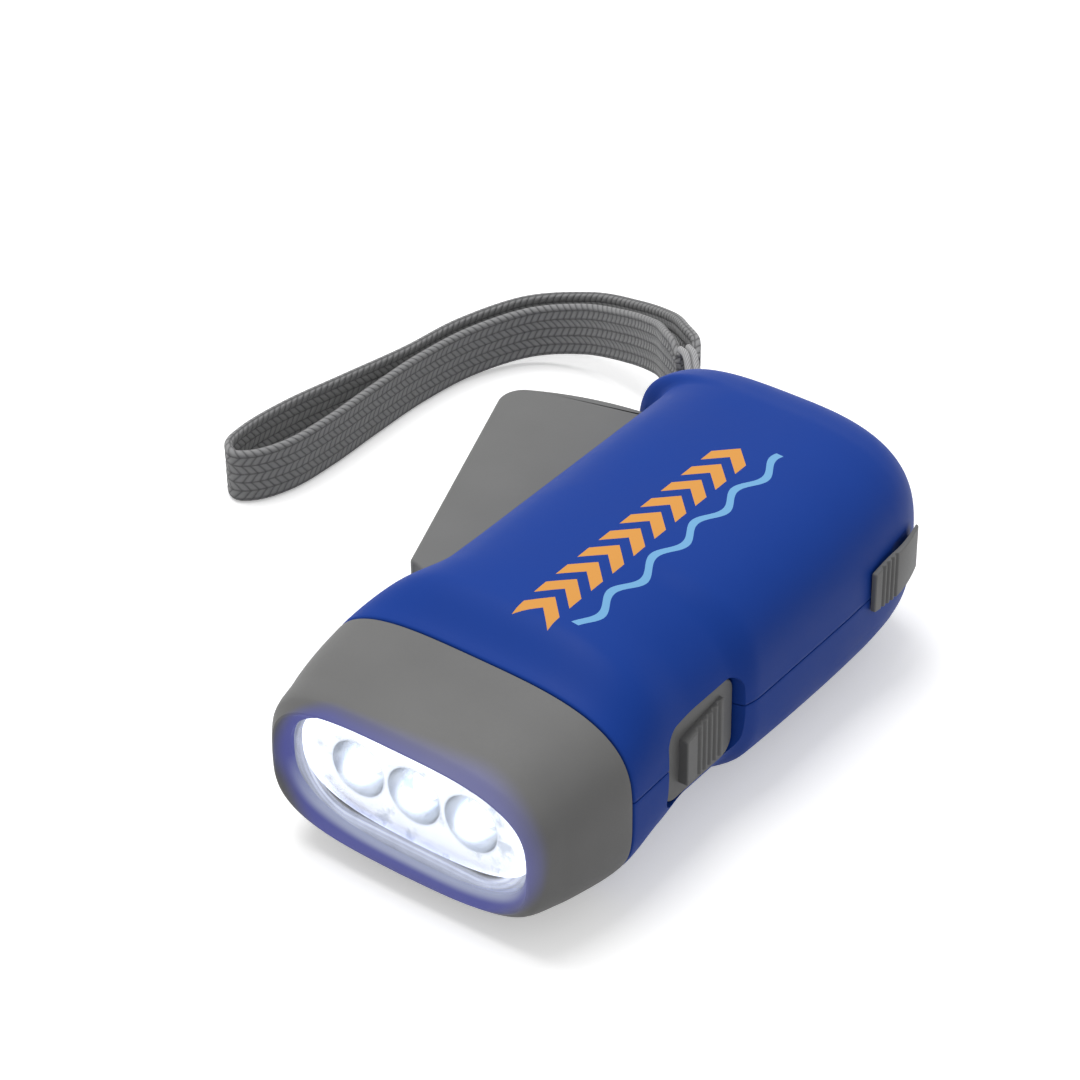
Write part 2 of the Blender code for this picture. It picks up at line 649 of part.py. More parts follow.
def compound_gear(name, axis, wheel, pinion, hub_low, hub_high):
    """A wheel and a pinion moulded on one hub, each with its teeth, module, turn and two heights."""
    body = rod(name, axis, GEAR_HUB_RADIUS, hub_low, hub_high, 20, NYLON)
    for part, (teeth, module, tooth_at, low, high) in (("wheel", wheel), ("pinion", pinion)):
        join(body, prism(f"{name}_{part}", gear_outline(axis, teeth, module, tooth_at), low, high))
    low, high = hub_low - OVERRUN, hub_high + OVERRUN
    cut(body, rod(f"{name}_bore", axis, AXLE_RADIUS + RUNNING_PLAY, low, high, AXLE_SIDE_COUNT))
    return set_origin(body, (*axis, 0.0))


def make_rack():
    body = prism("gear_rack", rack_outline(), RACK_LOW_Z, RACK_HIGH_Z, NYLON)
    for i, turn in enumerate(RACK_BOSS_TURNS):
        centre = polar(RACK_BOSS_CENTRE_RADIUS, turn)
        low, high = RACK_LOW_Z - OVERRUN, RACK_HIGH_Z + OVERRUN
        hole = rod(f"rack_hole_{i}", centre, RACK_PEG_RADIUS + GAP, low, high, 12)
        cut(body, hole)
    peg_axis = polar(LOCK_PEG_CENTRE_RADIUS, LOCK_PEG_TURN)
    middle = (RACK_LOW_Z + RACK_HIGH_Z) / 2
    join(body, rod("lock_peg", peg_axis, LOCK_PEG_RADIUS, middle, RACK_HIGH_Z + LOCK_PEG_HEIGHT, 14))
    return set_origin(body, (*PIVOT, LEVER_Z))


gear_rack = make_rack()
drive_gear = compound_gear(
    "drive_gear",
    DRIVE_AXIS,
    (DRIVE_WHEEL_TEETH, DRIVE_WHEEL_MODULE, IDLER_TURN, DRIVE_WHEEL_LOW_Z, DRIVE_WHEEL_HIGH_Z),
    (DRIVE_PINION_TEETH, RACK_MODULE, DRIVE_PINION_TURN, DRIVE_PINION_LOW_Z, DRIVE_PINION_HIGH_Z),
    DRIVE_WHEEL_LOW_Z,
    DRIVE_PINION_HIGH_Z,
)
idler_gear = compound_gear(
    "idler_gear",
    IDLER_AXIS,
    (IDLER_WHEEL_TEETH, IDLER_WHEEL_MODULE, ROTOR_TURN, IDLER_WHEEL_LOW_Z, IDLER_WHEEL_HIGH_Z),
    (
        IDLER_PINION_TEETH,
        DRIVE_WHEEL_MODULE,
        IDLER_TURN + math.pi + half_tooth(IDLER_PINION_TEETH),
        IDLER_PINION_LOW_Z,
        IDLER_PINION_HIGH_Z,
    ),
    IDLER_PINION_LOW_Z,
    IDLER_WHEEL_HIGH_Z,
)

# Rotor: a pinion that drives the flywheel one way through pawls, and the magnet on the flywheel's hub
FLYWHEEL_RADIUS = 10.4 * MM
FLYWHEEL_LOW_Z = 6.6 * MM
FLYWHEEL_THICKNESS = 4.8 * MM
FLYWHEEL_RIM = 2.6 * MM
FLYWHEEL_WEB = 1.8 * MM
FLYWHEEL_HUB_RADIUS = 3.0 * MM
MAGNET_RADIUS = 6.5 * MM
MAGNET_LOW_Z = 12.0 * MM
MAGNET_HEIGHT = 6.6 * MM
RATCHET_RADIUS = 5.6 * MM
RATCHET_LOW_Z = 19.0 * MM
RATCHET_HIGH_Z = 21.2 * MM
RATCHET_FLOOR = 0.7 * MM
RATCHET_TEETH = 12
RATCHET_ROOT_RADIUS = 4.9 * MM
RATCHET_TIP_RADIUS = 4.2 * MM
PAWL_COUNT = 2
PAWL_TIP_RADIUS = 3.8 * MM
PAWL_WIDTH = 0.9 * MM
PAWL_SWEEP = 75 * DEG

FLYWHEEL_HIGH_Z = FLYWHEEL_LOW_Z + FLYWHEEL_THICKNESS


def ratchet_outline():
    """Saw teeth that point inwards: each rises slowly and drops at once."""
    outline = []
    for k in range(RATCHET_TEETH):
        start, end = 2 * math.pi * k / RATCHET_TEETH, 2 * math.pi * (k + 0.96) / RATCHET_TEETH
        for radius, turn in ((RATCHET_ROOT_RADIUS, start), (RATCHET_TIP_RADIUS, end)):
            outline.append(
                (ROTOR_AXIS[0] + radius * math.cos(turn), ROTOR_AXIS[1] + radius * math.sin(turn))
            )
    return outline


def make_flywheel():
    rim_inner = FLYWHEEL_RADIUS - FLYWHEEL_RIM
    web_low = FLYWHEEL_HIGH_Z - FLYWHEEL_WEB
    profile = (
        (FLYWHEEL_RADIUS, FLYWHEEL_LOW_Z),
        (FLYWHEEL_RADIUS, FLYWHEEL_HIGH_Z),
        (FLYWHEEL_HUB_RADIUS, FLYWHEEL_HIGH_Z),
        (FLYWHEEL_HUB_RADIUS, RATCHET_LOW_Z),
        (RATCHET_RADIUS, RATCHET_LOW_Z),
        (RATCHET_RADIUS, RATCHET_HIGH_Z),
    )
    body = turned("flywheel", ROTOR_AXIS, profile, 36, DARK_PLASTIC)
    ring = rod("flywheel_recess", ROTOR_AXIS, rim_inner, FLYWHEEL_LOW_Z - OVERRUN, web_low, 30)
    core_low, core_high = FLYWHEEL_LOW_Z - 2 * OVERRUN, web_low + OVERRUN
    cut(ring, rod("flywheel_hub_core", ROTOR_AXIS, FLYWHEEL_HUB_RADIUS, core_low, core_high, 20))
    cup = prism("ratchet_cup", ratchet_outline(), RATCHET_LOW_Z + RATCHET_FLOOR, RATCHET_HIGH_Z + OVERRUN)
    bore_radius, bore_low = AXLE_RADIUS + RUNNING_PLAY, FLYWHEEL_LOW_Z - OVERRUN
    bore = rod("flywheel_bore", ROTOR_AXIS, bore_radius, bore_low, RATCHET_HIGH_Z, AXLE_SIDE_COUNT)
    return set_origin(cut(body, ring, cup, bore), (*ROTOR_AXIS, 0.0))


def make_magnet():
    high = MAGNET_LOW_Z + MAGNET_HEIGHT
    body = rod("rotor_magnet", ROTOR_AXIS, MAGNET_RADIUS, MAGNET_LOW_Z, high, 32, MAGNET)
    bore_radius = FLYWHEEL_HUB_RADIUS + GAP
    bore = rod("magnet_bore", ROTOR_AXIS, bore_radius, MAGNET_LOW_Z - OVERRUN, high + OVERRUN, 20)
    return set_origin(cut(body, bore), (*ROTOR_AXIS, 0.0))


def pawl_outline(start):
    """A curved spring arm that leaves the hub and ends in a tip that would catch the saw teeth."""
    end, root_end = start + PAWL_SWEEP, start + PAWL_SWEEP / 4
    outer = arc_points(ROTOR_AXIS, PAWL_TIP_RADIUS, start, end, 6)
    inner = arc_points(ROTOR_AXIS, PAWL_TIP_RADIUS - PAWL_WIDTH, end, root_end, 6)
    root = arc_points(ROTOR_AXIS, AXLE_RADIUS + 2 * RUNNING_PLAY, root_end, start, 2)
    return outer + inner + root


def make_rotor_pinion():
    low = RATCHET_LOW_Z + RATCHET_FLOOR + GAP
    turn = ROTOR_TURN + math.pi + half_tooth(ROTOR_PINION_TEETH)
    pinion = gear_outline(ROTOR_AXIS, ROTOR_PINION_TEETH, IDLER_WHEEL_MODULE, turn)
    body = prism("rotor_pinion", pinion, ROTOR_PINION_LOW_Z, ROTOR_PINION_HIGH_Z, NYLON)
    hub_high = ROTOR_PINION_LOW_Z + WHEEL_THICKNESS / 2
    join(body, rod("pawl_hub", ROTOR_AXIS, GEAR_HUB_RADIUS, low, hub_high, 16))
    for i in range(PAWL_COUNT):
        outline = pawl_outline(2 * math.pi * i / PAWL_COUNT)
        arm = prism(f"pawl_{i}", outline, low + GAP / 2, RATCHET_HIGH_Z - GAP)
        join(body, arm)
    radius, bore_high = AXLE_RADIUS + RUNNING_PLAY, ROTOR_PINION_HIGH_Z + OVERRUN
    bore = rod("rotor_pinion_bore", ROTOR_AXIS, radius, low - OVERRUN, bore_high, AXLE_SIDE_COUNT)
    return set_origin(cut(body, bore), (*ROTOR_AXIS, 0.0))


flywheel = make_flywheel()
rotor_magnet = make_magnet()
rotor_pinion = make_rotor_pinion()

# Stator: an iron core whose two shoes wrap the magnet, and the coil on its bridge
SHOE_PLAY = 0.5 * MM
SHOE_THICKNESS = 1.6 * MM
SHOE_HALF_ANGLE = 62 * DEG
CORE_LEG_Y = -24 * MM
CORE_HEIGHT = 4.6 * MM
CORE_BRIDGE = 3.0 * MM
COIL_LENGTH = 10.5 * MM
COIL_WIDTH = 10.6 * MM
COIL_HEIGHT = 11.0 * MM
BOBBIN_FLANGE = 0.8 * MM
BOBBIN_TUBE = 0.7 * MM
COIL_CORNER = 1.2 * MM

CORE_LOW_Z = MAGNET_LOW_Z + (MAGNET_HEIGHT - CORE_HEIGHT) / 2
CORE_HIGH_Z = CORE_LOW_Z + CORE_HEIGHT
CORE_MIDDLE_Z = (CORE_LOW_Z + CORE_HIGH_Z) / 2
SHOE_INNER = MAGNET_RADIUS + SHOE_PLAY
SHOE_OUTER = SHOE_INNER + SHOE_THICKNESS


def core_outline():
    """The core in plan: a U whose legs end in curved shoes on each side of the magnet."""
    x, y = ROTOR_AXIS
    right_low, right_high = 90 * DEG + SHOE_HALF_ANGLE, 90 * DEG - SHOE_HALF_ANGLE
    outline = arc_points(ROTOR_AXIS, SHOE_INNER, right_low, right_high, 9)
    outline += arc_points(ROTOR_AXIS, SHOE_OUTER, right_high, 90 * DEG, 5)
    bridge_y = CORE_LEG_Y - CORE_BRIDGE / 2
    outline += [(x + SHOE_OUTER, bridge_y), (x - SHOE_OUTER, bridge_y)]
    outline += arc_points(ROTOR_AXIS, SHOE_OUTER, -90 * DEG, -right_high, 5)
    outline += arc_points(ROTOR_AXIS, SHOE_INNER, -right_high, -right_low, 9)
    inner = SHOE_OUTER - SHOE_THICKNESS
    outline += [(x - inner, y - SHOE_OUTER), (x - inner, CORE_LEG_Y + CORE_BRIDGE / 2)]
    outline += [(x + inner, CORE_LEG_Y + CORE_BRIDGE / 2), (x + inner, y - SHOE_OUTER)]
    return outline


def make_core():
    return prism("stator_core", core_outline(), CORE_LOW_Z, CORE_HIGH_Z, IRON)


def coil_box(name, half_length, width, height, finish=None):
    """A block about the core's bridge, with its long edges rounded."""
    x, y, z = ROTOR_AXIS[0], CORE_LEG_Y, CORE_MIDDLE_Z
    low = (x - half_length, y - width / 2, z - height / 2)
    high = (x + half_length, y + width / 2, z + height / 2)
    made = block(name, low, high, finish)
    return made


def make_bobbin():
    half = COIL_LENGTH / 2
    tube_width, tube_height = CORE_BRIDGE + 2 * (BOBBIN_TUBE + GAP), CORE_HEIGHT + 2 * (BOBBIN_TUBE + GAP)
    body = coil_box("coil_bobbin", half, COIL_WIDTH, COIL_HEIGHT, NYLON)
    groove = coil_box("bobbin_groove", half - BOBBIN_FLANGE, COIL_WIDTH + OVERRUN, COIL_HEIGHT + OVERRUN)
    cut(groove, coil_box("bobbin_tube", half + OVERRUN, tube_width, tube_height))
    bore = coil_box("bobbin_bore", half + OVERRUN, CORE_BRIDGE + 2 * GAP, CORE_HEIGHT + 2 * GAP)
    return cut(body, groove, bore)


def make_winding():
    half = COIL_LENGTH / 2 - BOBBIN_FLANGE - GAP
    inner = 2 * (BOBBIN_TUBE + 2 * GAP)
    body = coil_box("coil_winding", half, COIL_WIDTH - 2 * GAP, COIL_HEIGHT - 2 * GAP, COPPER)
    rounding = body.modifiers.new("turns", "BEVEL")
    rounding.width = COIL_CORNER
    rounding.segments = 3
    rounding.limit_method = "ANGLE"
    return cut(body, coil_box("winding_bore", half + OVERRUN, CORE_BRIDGE + inner, CORE_HEIGHT + inner))


stator_core = make_core()
coil_bobbin = make_bobbin()
coil_winding = make_winding()

# Pins, bosses and screws that carry the train between the two shells
AXLE_BOSS_RADIUS = 2.0 * MM
PIVOT_BOSS_RADIUS = 3.0 * MM
AXLE_SOCKET = 4.0 * MM
SCREW_BOSS_RADIUS = 3.2 * MM
SCREW_PLACES = {
    "screw_tail_left": (-6 * MM, 47.4 * MM, 4.8 * MM),
    "screw_tail_right": (17 * MM, 44.4 * MM, 4.8 * MM),
    "screw_head_left": (-14 * MM, -27 * MM, 4.2 * MM),
    "screw_head_right": (20.2 * MM, -27 * MM, 6.4 * MM),
}
SCREW_HEAD_RADIUS = 2.3 * MM
SCREW_SHANK_RADIUS = 1.1 * MM
SCREW_HEAD_HEIGHT = 1.6 * MM
SCREW_TOP_Z = 29 * MM
SCREW_SLOT_WIDTH = 0.5 * MM
SCREW_SLOT_DEPTH = 0.7 * MM

PIVOT_LOW_Z = LEVER_Z - PIVOT_PIN_REACH
PIVOT_HIGH_Z = LEVER_Z + PIVOT_PIN_REACH

AXLES = {
    "drive_gear_axle": (DRIVE_AXIS, DRIVE_WHEEL_LOW_Z, DRIVE_PINION_HIGH_Z),
    "idler_gear_axle": (IDLER_AXIS, IDLER_PINION_LOW_Z, IDLER_WHEEL_HIGH_Z),
    "rotor_axle": (ROTOR_AXIS, FLYWHEEL_LOW_Z, ROTOR_PINION_HIGH_Z),
}


def axle_span(name):
    """Where an axle starts and ends: a socket's depth past the gear it carries."""
    _, low, high = AXLES[name]
    return low - AXLE_SOCKET, high + AXLE_SOCKET


for axle_name, (axle_axis, _, _) in AXLES.items():
    rod(axle_name, axle_axis, AXLE_RADIUS, *axle_span(axle_name), AXLE_SIDE_COUNT, STEEL)
lever_pivot_pin = rod("lever_pivot_pin", PIVOT, PIVOT_PIN_RADIUS, PIVOT_LOW_Z, PIVOT_HIGH_Z, 16, STEEL)

# Battery: a coin cell in a ring of ribs on the floor, under a sprung strip
CELL_RADIUS = 10 * MM
CELL_HEIGHT = 3.2 * MM
CELL_CENTRE = (11.2 * MM, 31.4 * MM)
CELL_LOW_Z = 5.9 * MM
CELL_CHAMFER = 0.5 * MM
CLIP_WIDTH = 4 * MM
CLIP_THICKNESS = 0.4 * MM
CLIP_OVERLAP = 4 * MM
CLIP_GAP = 0.6 * MM
CLIP_FOOT_Z = 3.0 * MM

CELL_HIGH_Z = CELL_LOW_Z + CELL_HEIGHT


def make_cell():
    profile = (
        (CELL_RADIUS - CELL_CHAMFER, CELL_LOW_Z),
        (CELL_RADIUS, CELL_LOW_Z + CELL_CHAMFER),
        (CELL_RADIUS, CELL_HIGH_Z),
    )
    return turned("battery_cell", CELL_CENTRE, profile, 32, STEEL)


def make_clip():
    """A bent strip: a foot on the floor, an upright beside the cell and a tongue on its top."""
    x, y = CELL_CENTRE
    edge = y - CELL_RADIUS - CLIP_GAP
    low, high = CLIP_FOOT_Z, CELL_HIGH_Z + GAP
    steps = (
        (edge - CLIP_OVERLAP, low),
        (edge, low),
        (edge, high),
        (edge + CLIP_GAP + CLIP_OVERLAP, high),
        (edge + CLIP_GAP + CLIP_OVERLAP, high + CLIP_THICKNESS),
        (edge - CLIP_THICKNESS, high + CLIP_THICKNESS),
        (edge - CLIP_THICKNESS, low + CLIP_THICKNESS),
        (edge - CLIP_OVERLAP, low + CLIP_THICKNESS),
    )
    rings = [[(x + side * CLIP_WIDTH / 2, py, pz) for py, pz in steps] for side in (-1, 1)]
    return loft("battery_clip", rings, STEEL)


battery_cell = make_cell()
battery_clip = make_clip()

# Circuit board above the coil, on two posts from the upper shell
CIRCUIT_LOW = (-9.5 * MM, -31 * MM)
CIRCUIT_HIGH = (16 * MM, -19 * MM)
CIRCUIT_Z = 25 * MM
POST_RADIUS = 1.8 * MM
POST_PEG_RADIUS = 0.7 * MM
CIRCUIT_POSTS = ((-6.5 * MM, -22.5 * MM), (12.5 * MM, -22.5 * MM))
CHIP_SIZE = (5 * MM, 4 * MM, 1.4 * MM)
CAPACITOR_RADIUS = 2.2 * MM
CAPACITOR_HEIGHT = 5.5 * MM
CAPACITOR_PLACE = (-4 * MM, -27.6 * MM)
CHIP_PLACE = (6.5 * MM, -26 * MM)

CIRCUIT_TOP_Z = CIRCUIT_Z + BOARD_THICKNESS


def make_circuit_board():
    body = block("circuit_board", (*CIRCUIT_LOW, CIRCUIT_Z), (*CIRCUIT_HIGH, CIRCUIT_TOP_Z), BOARD)
    half = (CHIP_SIZE[0] / 2, CHIP_SIZE[1] / 2)
    low = (CHIP_PLACE[0] - half[0], CHIP_PLACE[1] - half[1], CIRCUIT_TOP_Z - BOARD_THICKNESS / 2)
    high = (CHIP_PLACE[0] + half[0], CHIP_PLACE[1] + half[1], CIRCUIT_TOP_Z + CHIP_SIZE[2])
    join(body, block("chip", low, high))
    can_low, can_high = CIRCUIT_Z + BOARD_THICKNESS / 2, CIRCUIT_TOP_Z + CAPACITOR_HEIGHT
    can = rod("capacitor", CAPACITOR_PLACE, CAPACITOR_RADIUS, can_low, can_high, 20)
    join(body, can)
    for i, place in enumerate(CIRCUIT_POSTS):
        hole_low, hole_high = CIRCUIT_Z - OVERRUN, CIRCUIT_TOP_Z + OVERRUN
        cut(body, rod(f"board_hole_{i}", place, POST_PEG_RADIUS + GAP, hole_low, hole_high, 12))
    return body


circuit_board = make_circuit_board()

# Power switch: a slide switch inside, and the grey slider outside with its ribbed wedge
SWITCH_Z = 18.2 * MM
SWITCH_FLOOR_X = 25.7 * MM
SWITCH_FACE_X = 26.9 * MM
SWITCH_PLATE_FRONT_Y = -23.4 * MM
SWITCH_PLATE_REAR_Y = -5.6 * MM
SWITCH_PLATE_HEIGHT = 17.8 * MM
SWITCH_PLATE_CORNER = 3.4 * MM
SWITCH_TRAVEL = 3 * MM
SWITCH_PAD_X = 23.9 * MM
SWITCH_PAD_MARGIN = 2.4 * MM
WEDGE_FRONT_Y = -20.6 * MM
WEDGE_REAR_Y = -8.6 * MM
WEDGE_HEIGHT = 10.4 * MM
WEDGE_RISE = 2.1 * MM
WEDGE_TAIL_RISE = 0.8 * MM
WEDGE_GROOVES = 5
WEDGE_GROOVE_PITCH = 1.75 * MM
WEDGE_GROOVE_WIDTH = 0.8 * MM
WEDGE_GROOVE_DEPTH = 0.6 * MM
STEM_LENGTH = 3.6 * MM
STEM_HEIGHT = 3.6 * MM
STEM_REACH = 2.4 * MM
SWITCH_BODY_SIZE = (4.4 * MM, 9.0 * MM, 7.0 * MM)
SWITCH_BODY_SLOT = 1.6 * MM

SWITCH_MIDDLE_Y = (SWITCH_PLATE_FRONT_Y + SWITCH_PLATE_REAR_Y) / 2
STEM_Y = SWITCH_MIDDLE_Y + SWITCH_TRAVEL / 2


def rounded_plate(name, x_low, x_high, y_low, y_high, z_middle, height, corner, finish=None):
    """A plate across X whose outline in Y and Z has rounded corners."""
    outline = []
    half = height / 2
    for cy, cz, start in (
        (y_high - corner, z_middle + half - corner, 0),
        (y_low + corner, z_middle + half - corner, 1),
        (y_low + corner, z_middle - half + corner, 2),
        (y_high - corner, z_middle - half + corner, 3),
    ):
        for i in range(5):
            turn = (start + i / 4) * math.pi / 2
            outline.append((cy + corner * math.cos(turn), cz + corner * math.sin(turn)))
    rings = [[(x, y, z) for y, z in outline] for x in (x_low, x_high)]
    return loft(name, rings, finish)


def make_power_slider():
    body = rounded_plate(
        "power_slider",
        SWITCH_FLOOR_X + GAP,
        SWITCH_FACE_X,
        SWITCH_PLATE_FRONT_Y,
        SWITCH_PLATE_REAR_Y,
        SWITCH_Z,
        SWITCH_PLATE_HEIGHT,
        SWITCH_PLATE_CORNER,
        GREY_PLASTIC,
    )
    plan = (
        (SWITCH_FLOOR_X + 2 * GAP, WEDGE_FRONT_Y),
        (SWITCH_FACE_X + WEDGE_RISE, WEDGE_FRONT_Y),
        (SWITCH_FACE_X + WEDGE_TAIL_RISE, WEDGE_REAR_Y),
        (SWITCH_FLOOR_X + 2 * GAP, WEDGE_REAR_Y),
    )
    wedge = prism("wedge", plan, SWITCH_Z - WEDGE_HEIGHT / 2, SWITCH_Z + WEDGE_HEIGHT / 2)
    join(body, wedge)
    for i in range(WEDGE_GROOVES):
        y = WEDGE_REAR_Y - (i + 1) * WEDGE_GROOVE_PITCH + WEDGE_GROOVE_PITCH / 3
        share = (WEDGE_REAR_Y - y) / (WEDGE_REAR_Y - WEDGE_FRONT_Y)
        top = SWITCH_FACE_X + WEDGE_TAIL_RISE + (WEDGE_RISE - WEDGE_TAIL_RISE) * share
        low = (top - WEDGE_GROOVE_DEPTH, y - WEDGE_GROOVE_WIDTH / 2, SWITCH_Z - WEDGE_HEIGHT)
        high = (top + OVERRUN, y + WEDGE_GROOVE_WIDTH / 2, SWITCH_Z + WEDGE_HEIGHT)
        cut(body, block(f"wedge_groove_{i}", low, high))
    low = (SWITCH_PAD_X - STEM_REACH, STEM_Y - STEM_LENGTH / 2, SWITCH_Z - STEM_HEIGHT / 2)
    high = (SWITCH_FLOOR_X + 3 * GAP, STEM_Y + STEM_LENGTH / 2, SWITCH_Z + STEM_HEIGHT / 2)
    return join(body, block("power_stem", low, high))


def make_slide_switch():
    """The switch body behind the wall, with a slot for the slider's stem."""
    depth, length, height = SWITCH_BODY_SIZE
    front = SWITCH_PAD_X - GAP
    low = (front - depth, SWITCH_MIDDLE_Y - length / 2, SWITCH_Z - height / 2)
    high = (front, SWITCH_MIDDLE_Y + length / 2, SWITCH_Z + height / 2)
    body = block("slide_switch", low, high, DARK_PLASTIC)
    reach = STEM_LENGTH / 2 + SWITCH_TRAVEL / 2 + 2 * GAP
    low = (SWITCH_PAD_X - STEM_REACH - 2 * GAP, SWITCH_MIDDLE_Y - reach, SWITCH_Z - STEM_HEIGHT / 2 - GAP)
    high = (front + OVERRUN, SWITCH_MIDDLE_Y + reach, SWITCH_Z + STEM_HEIGHT / 2 + GAP)
    return cut(body, block("switch_slot", low, high))


power_slider = make_power_slider()
slide_switch = make_slide_switch()

# Lever lock: a ribbed slider by the tail with a finger that can stand behind the rack's peg
LOCK_TRAVEL = 5 * MM
LOCK_FLAT_X = 28.6 * MM
LOCK_FACE_X = 30.2 * MM
LOCK_FRONT_Y = 31 * MM
LOCK_RIBBED_LENGTH = 6.6 * MM
LOCK_LENGTH = 13 * MM
LOCK_HEIGHT = 8.2 * MM
LOCK_TAIL_DROP = 0.9 * MM
LOCK_RIBS = 4
LOCK_GROOVE_WIDTH = 0.75 * MM
LOCK_GROOVE_DEPTH = 0.6 * MM
LOCK_STEM_LENGTH = 4.0 * MM
LOCK_STEM_HEIGHT = 3.4 * MM
LOCK_FINGER_TIP_X = 18.6 * MM
LOCK_FINGER_BACK_X = 24.9 * MM
LOCK_FINGER_THICKNESS = 2.0 * MM
LOCK_FINGER_WIDTH = 4.4 * MM

LOCK_Z = MID_Z + GAP
LOCK_FINGER_Z = RACK_HIGH_Z + 2 * GAP
CLOSED_PEG_Y = polar(LOCK_PEG_CENTRE_RADIUS, LOCK_PEG_TURN + LEVER_OPEN)[1]
LOCK_FINGER_Y = CLOSED_PEG_Y + LOCK_PEG_RADIUS + 2 * GAP + LOCK_TRAVEL
LOCK_STEM_Y = LOCK_FRONT_Y + LOCK_TRAVEL + LOCK_STEM_LENGTH / 2 + 2 * GAP


def make_lock_slider():
    rear = LOCK_FRONT_Y + LOCK_LENGTH
    ribbed = LOCK_FRONT_Y + LOCK_RIBBED_LENGTH
    plan = (
        (LOCK_FLAT_X + GAP, LOCK_FRONT_Y),
        (LOCK_FACE_X, LOCK_FRONT_Y),
        (LOCK_FACE_X, ribbed),
        (LOCK_FACE_X - LOCK_TAIL_DROP / 4, (ribbed + rear) / 2),
        (LOCK_FACE_X - LOCK_TAIL_DROP, rear),
        (LOCK_FLAT_X + GAP, rear),
    )
    body = prism("lock_slider", plan, LOCK_Z - LOCK_HEIGHT / 2, LOCK_Z + LOCK_HEIGHT / 2, GREY_PLASTIC)
    pitch = LOCK_RIBBED_LENGTH / LOCK_RIBS
    for i in range(LOCK_RIBS):
        y = LOCK_FRONT_Y + (i + 1) * pitch - pitch / 4
        low = (LOCK_FACE_X - LOCK_GROOVE_DEPTH, y - LOCK_GROOVE_WIDTH / 2, LOCK_Z - LOCK_HEIGHT)
        high = (LOCK_FACE_X + OVERRUN, y + LOCK_GROOVE_WIDTH / 2, LOCK_Z + LOCK_HEIGHT)
        cut(body, block(f"lock_groove_{i}", low, high))
    half, thick = LOCK_STEM_LENGTH / 2, LOCK_STEM_HEIGHT / 2
    low = (LOCK_FINGER_BACK_X - GAP, LOCK_STEM_Y - half, LOCK_Z - thick)
    high = (LOCK_FLAT_X + 2 * GAP, LOCK_STEM_Y + half, LOCK_Z + thick)
    join(body, block("lock_stem", low, high))
    low = (LOCK_FINGER_BACK_X - 2 * GAP - LOCK_FINGER_THICKNESS / 2, LOCK_FINGER_Y, LOCK_Z - thick)
    high = (LOCK_FINGER_BACK_X, LOCK_STEM_Y + half, LOCK_FINGER_Z + LOCK_FINGER_THICKNESS)
    join(body, block("lock_bar", low, high))
    low = (LOCK_FINGER_TIP_X, LOCK_FINGER_Y, LOCK_FINGER_Z)
    rear_y, top_z = LOCK_FINGER_Y + LOCK_FINGER_WIDTH, LOCK_FINGER_Z + LOCK_FINGER_THICKNESS
    high = (LOCK_FINGER_BACK_X - GAP, rear_y, top_z)
    return join(body, block("lock_finger", low, high))


lock_slider = make_lock_slider()

# Strap post: a steel pin across the tail slot
STRAP_POST = (-17.5 * MM, 46.8 * MM)
STRAP_POST_RADIUS = 1.2 * MM
STRAP_SLOT_LOW_X = -24 * MM
STRAP_SLOT_HIGH_X = -12.4 * MM
STRAP_SLOT_HEIGHT = 7.6 * MM
STRAP_SLOT_Z = 19.4 * MM
STRAP_POST_REACH = 8 * MM
STRAP_SLOT_DEPTH_Y = 43.8 * MM

STRAP_POST_LOW_Z = STRAP_SLOT_Z - STRAP_POST_REACH
STRAP_POST_HIGH_Z = STRAP_SLOT_Z + STRAP_POST_REACH

strap_post = rod(
    "strap_post", STRAP_POST, STRAP_POST_RADIUS, STRAP_POST_LOW_Z, STRAP_POST_HIGH_Z, 14, STEEL
)

# Shells: one skin lofted through the body's sections, hollowed and split at mid-height
LEVER_SLOT_PLAY = 0.4 * MM
LEVER_SLOT_FRONT_Y = PIVOT[1] - LEVER_HUB_RADIUS - 3 * GAP
LEVER_SLOT_REAR_Y = 42.9 * MM
LEVER_SLOT_DEPTH_X = -14.4 * MM
SPRING_POST = (-11.0 * MM, -9.4 * MM)
SPRING_POST_RADIUS = 1.1 * MM
CELL_POST_TURNS = (75 * DEG, 172 * DEG, 305 * DEG)
CELL_POST_RADIUS = 1.2 * MM


def make_skin(name, finish):
    """The closed outside of both shells, with the spigot that goes into the bezel."""
    rings = [hull_ring(SPIGOT_Y, BEZEL_SKIRT + GAP), hull_ring(SEAM_Y + GAP / 2, BEZEL_SKIRT + GAP)]
    rings.append(hull_ring(SEAM_Y + GAP / 2))
    rings += [hull_ring(along(s)) for s in SHELL_STATION_SHARES]
    return loft(name, rings, finish)


def make_cavity(name):
    """The room inside both shells, drawn in by the wall. At the tail it also stops a wall short."""
    spigot_inset = BEZEL_SKIRT + GAP + SPIGOT_WALL
    rings = [hull_ring(SPIGOT_Y - OVERRUN, spigot_inset), hull_ring(SEAM_Y + WALL, spigot_inset)]
    rings.append(hull_ring(SEAM_Y + WALL + SPIGOT_WALL, WALL))
    for share in SHELL_STATION_SHARES[1:-1:2]:
        y = along(share)
        if y > SEAM_Y + 2 * WALL + SPIGOT_WALL and y < TAIL_Y - WALL:
            late = max(0.0, min(1.0, (share - 0.75) / 0.2))
            rings.append(hull_ring(y, WALL, read_at=min(TAIL_Y, y + WALL * late)))
    rings.append(hull_ring(TAIL_Y - WALL, WALL, read_at=TAIL_Y - WALL / 8))
    return loft(name, rings)


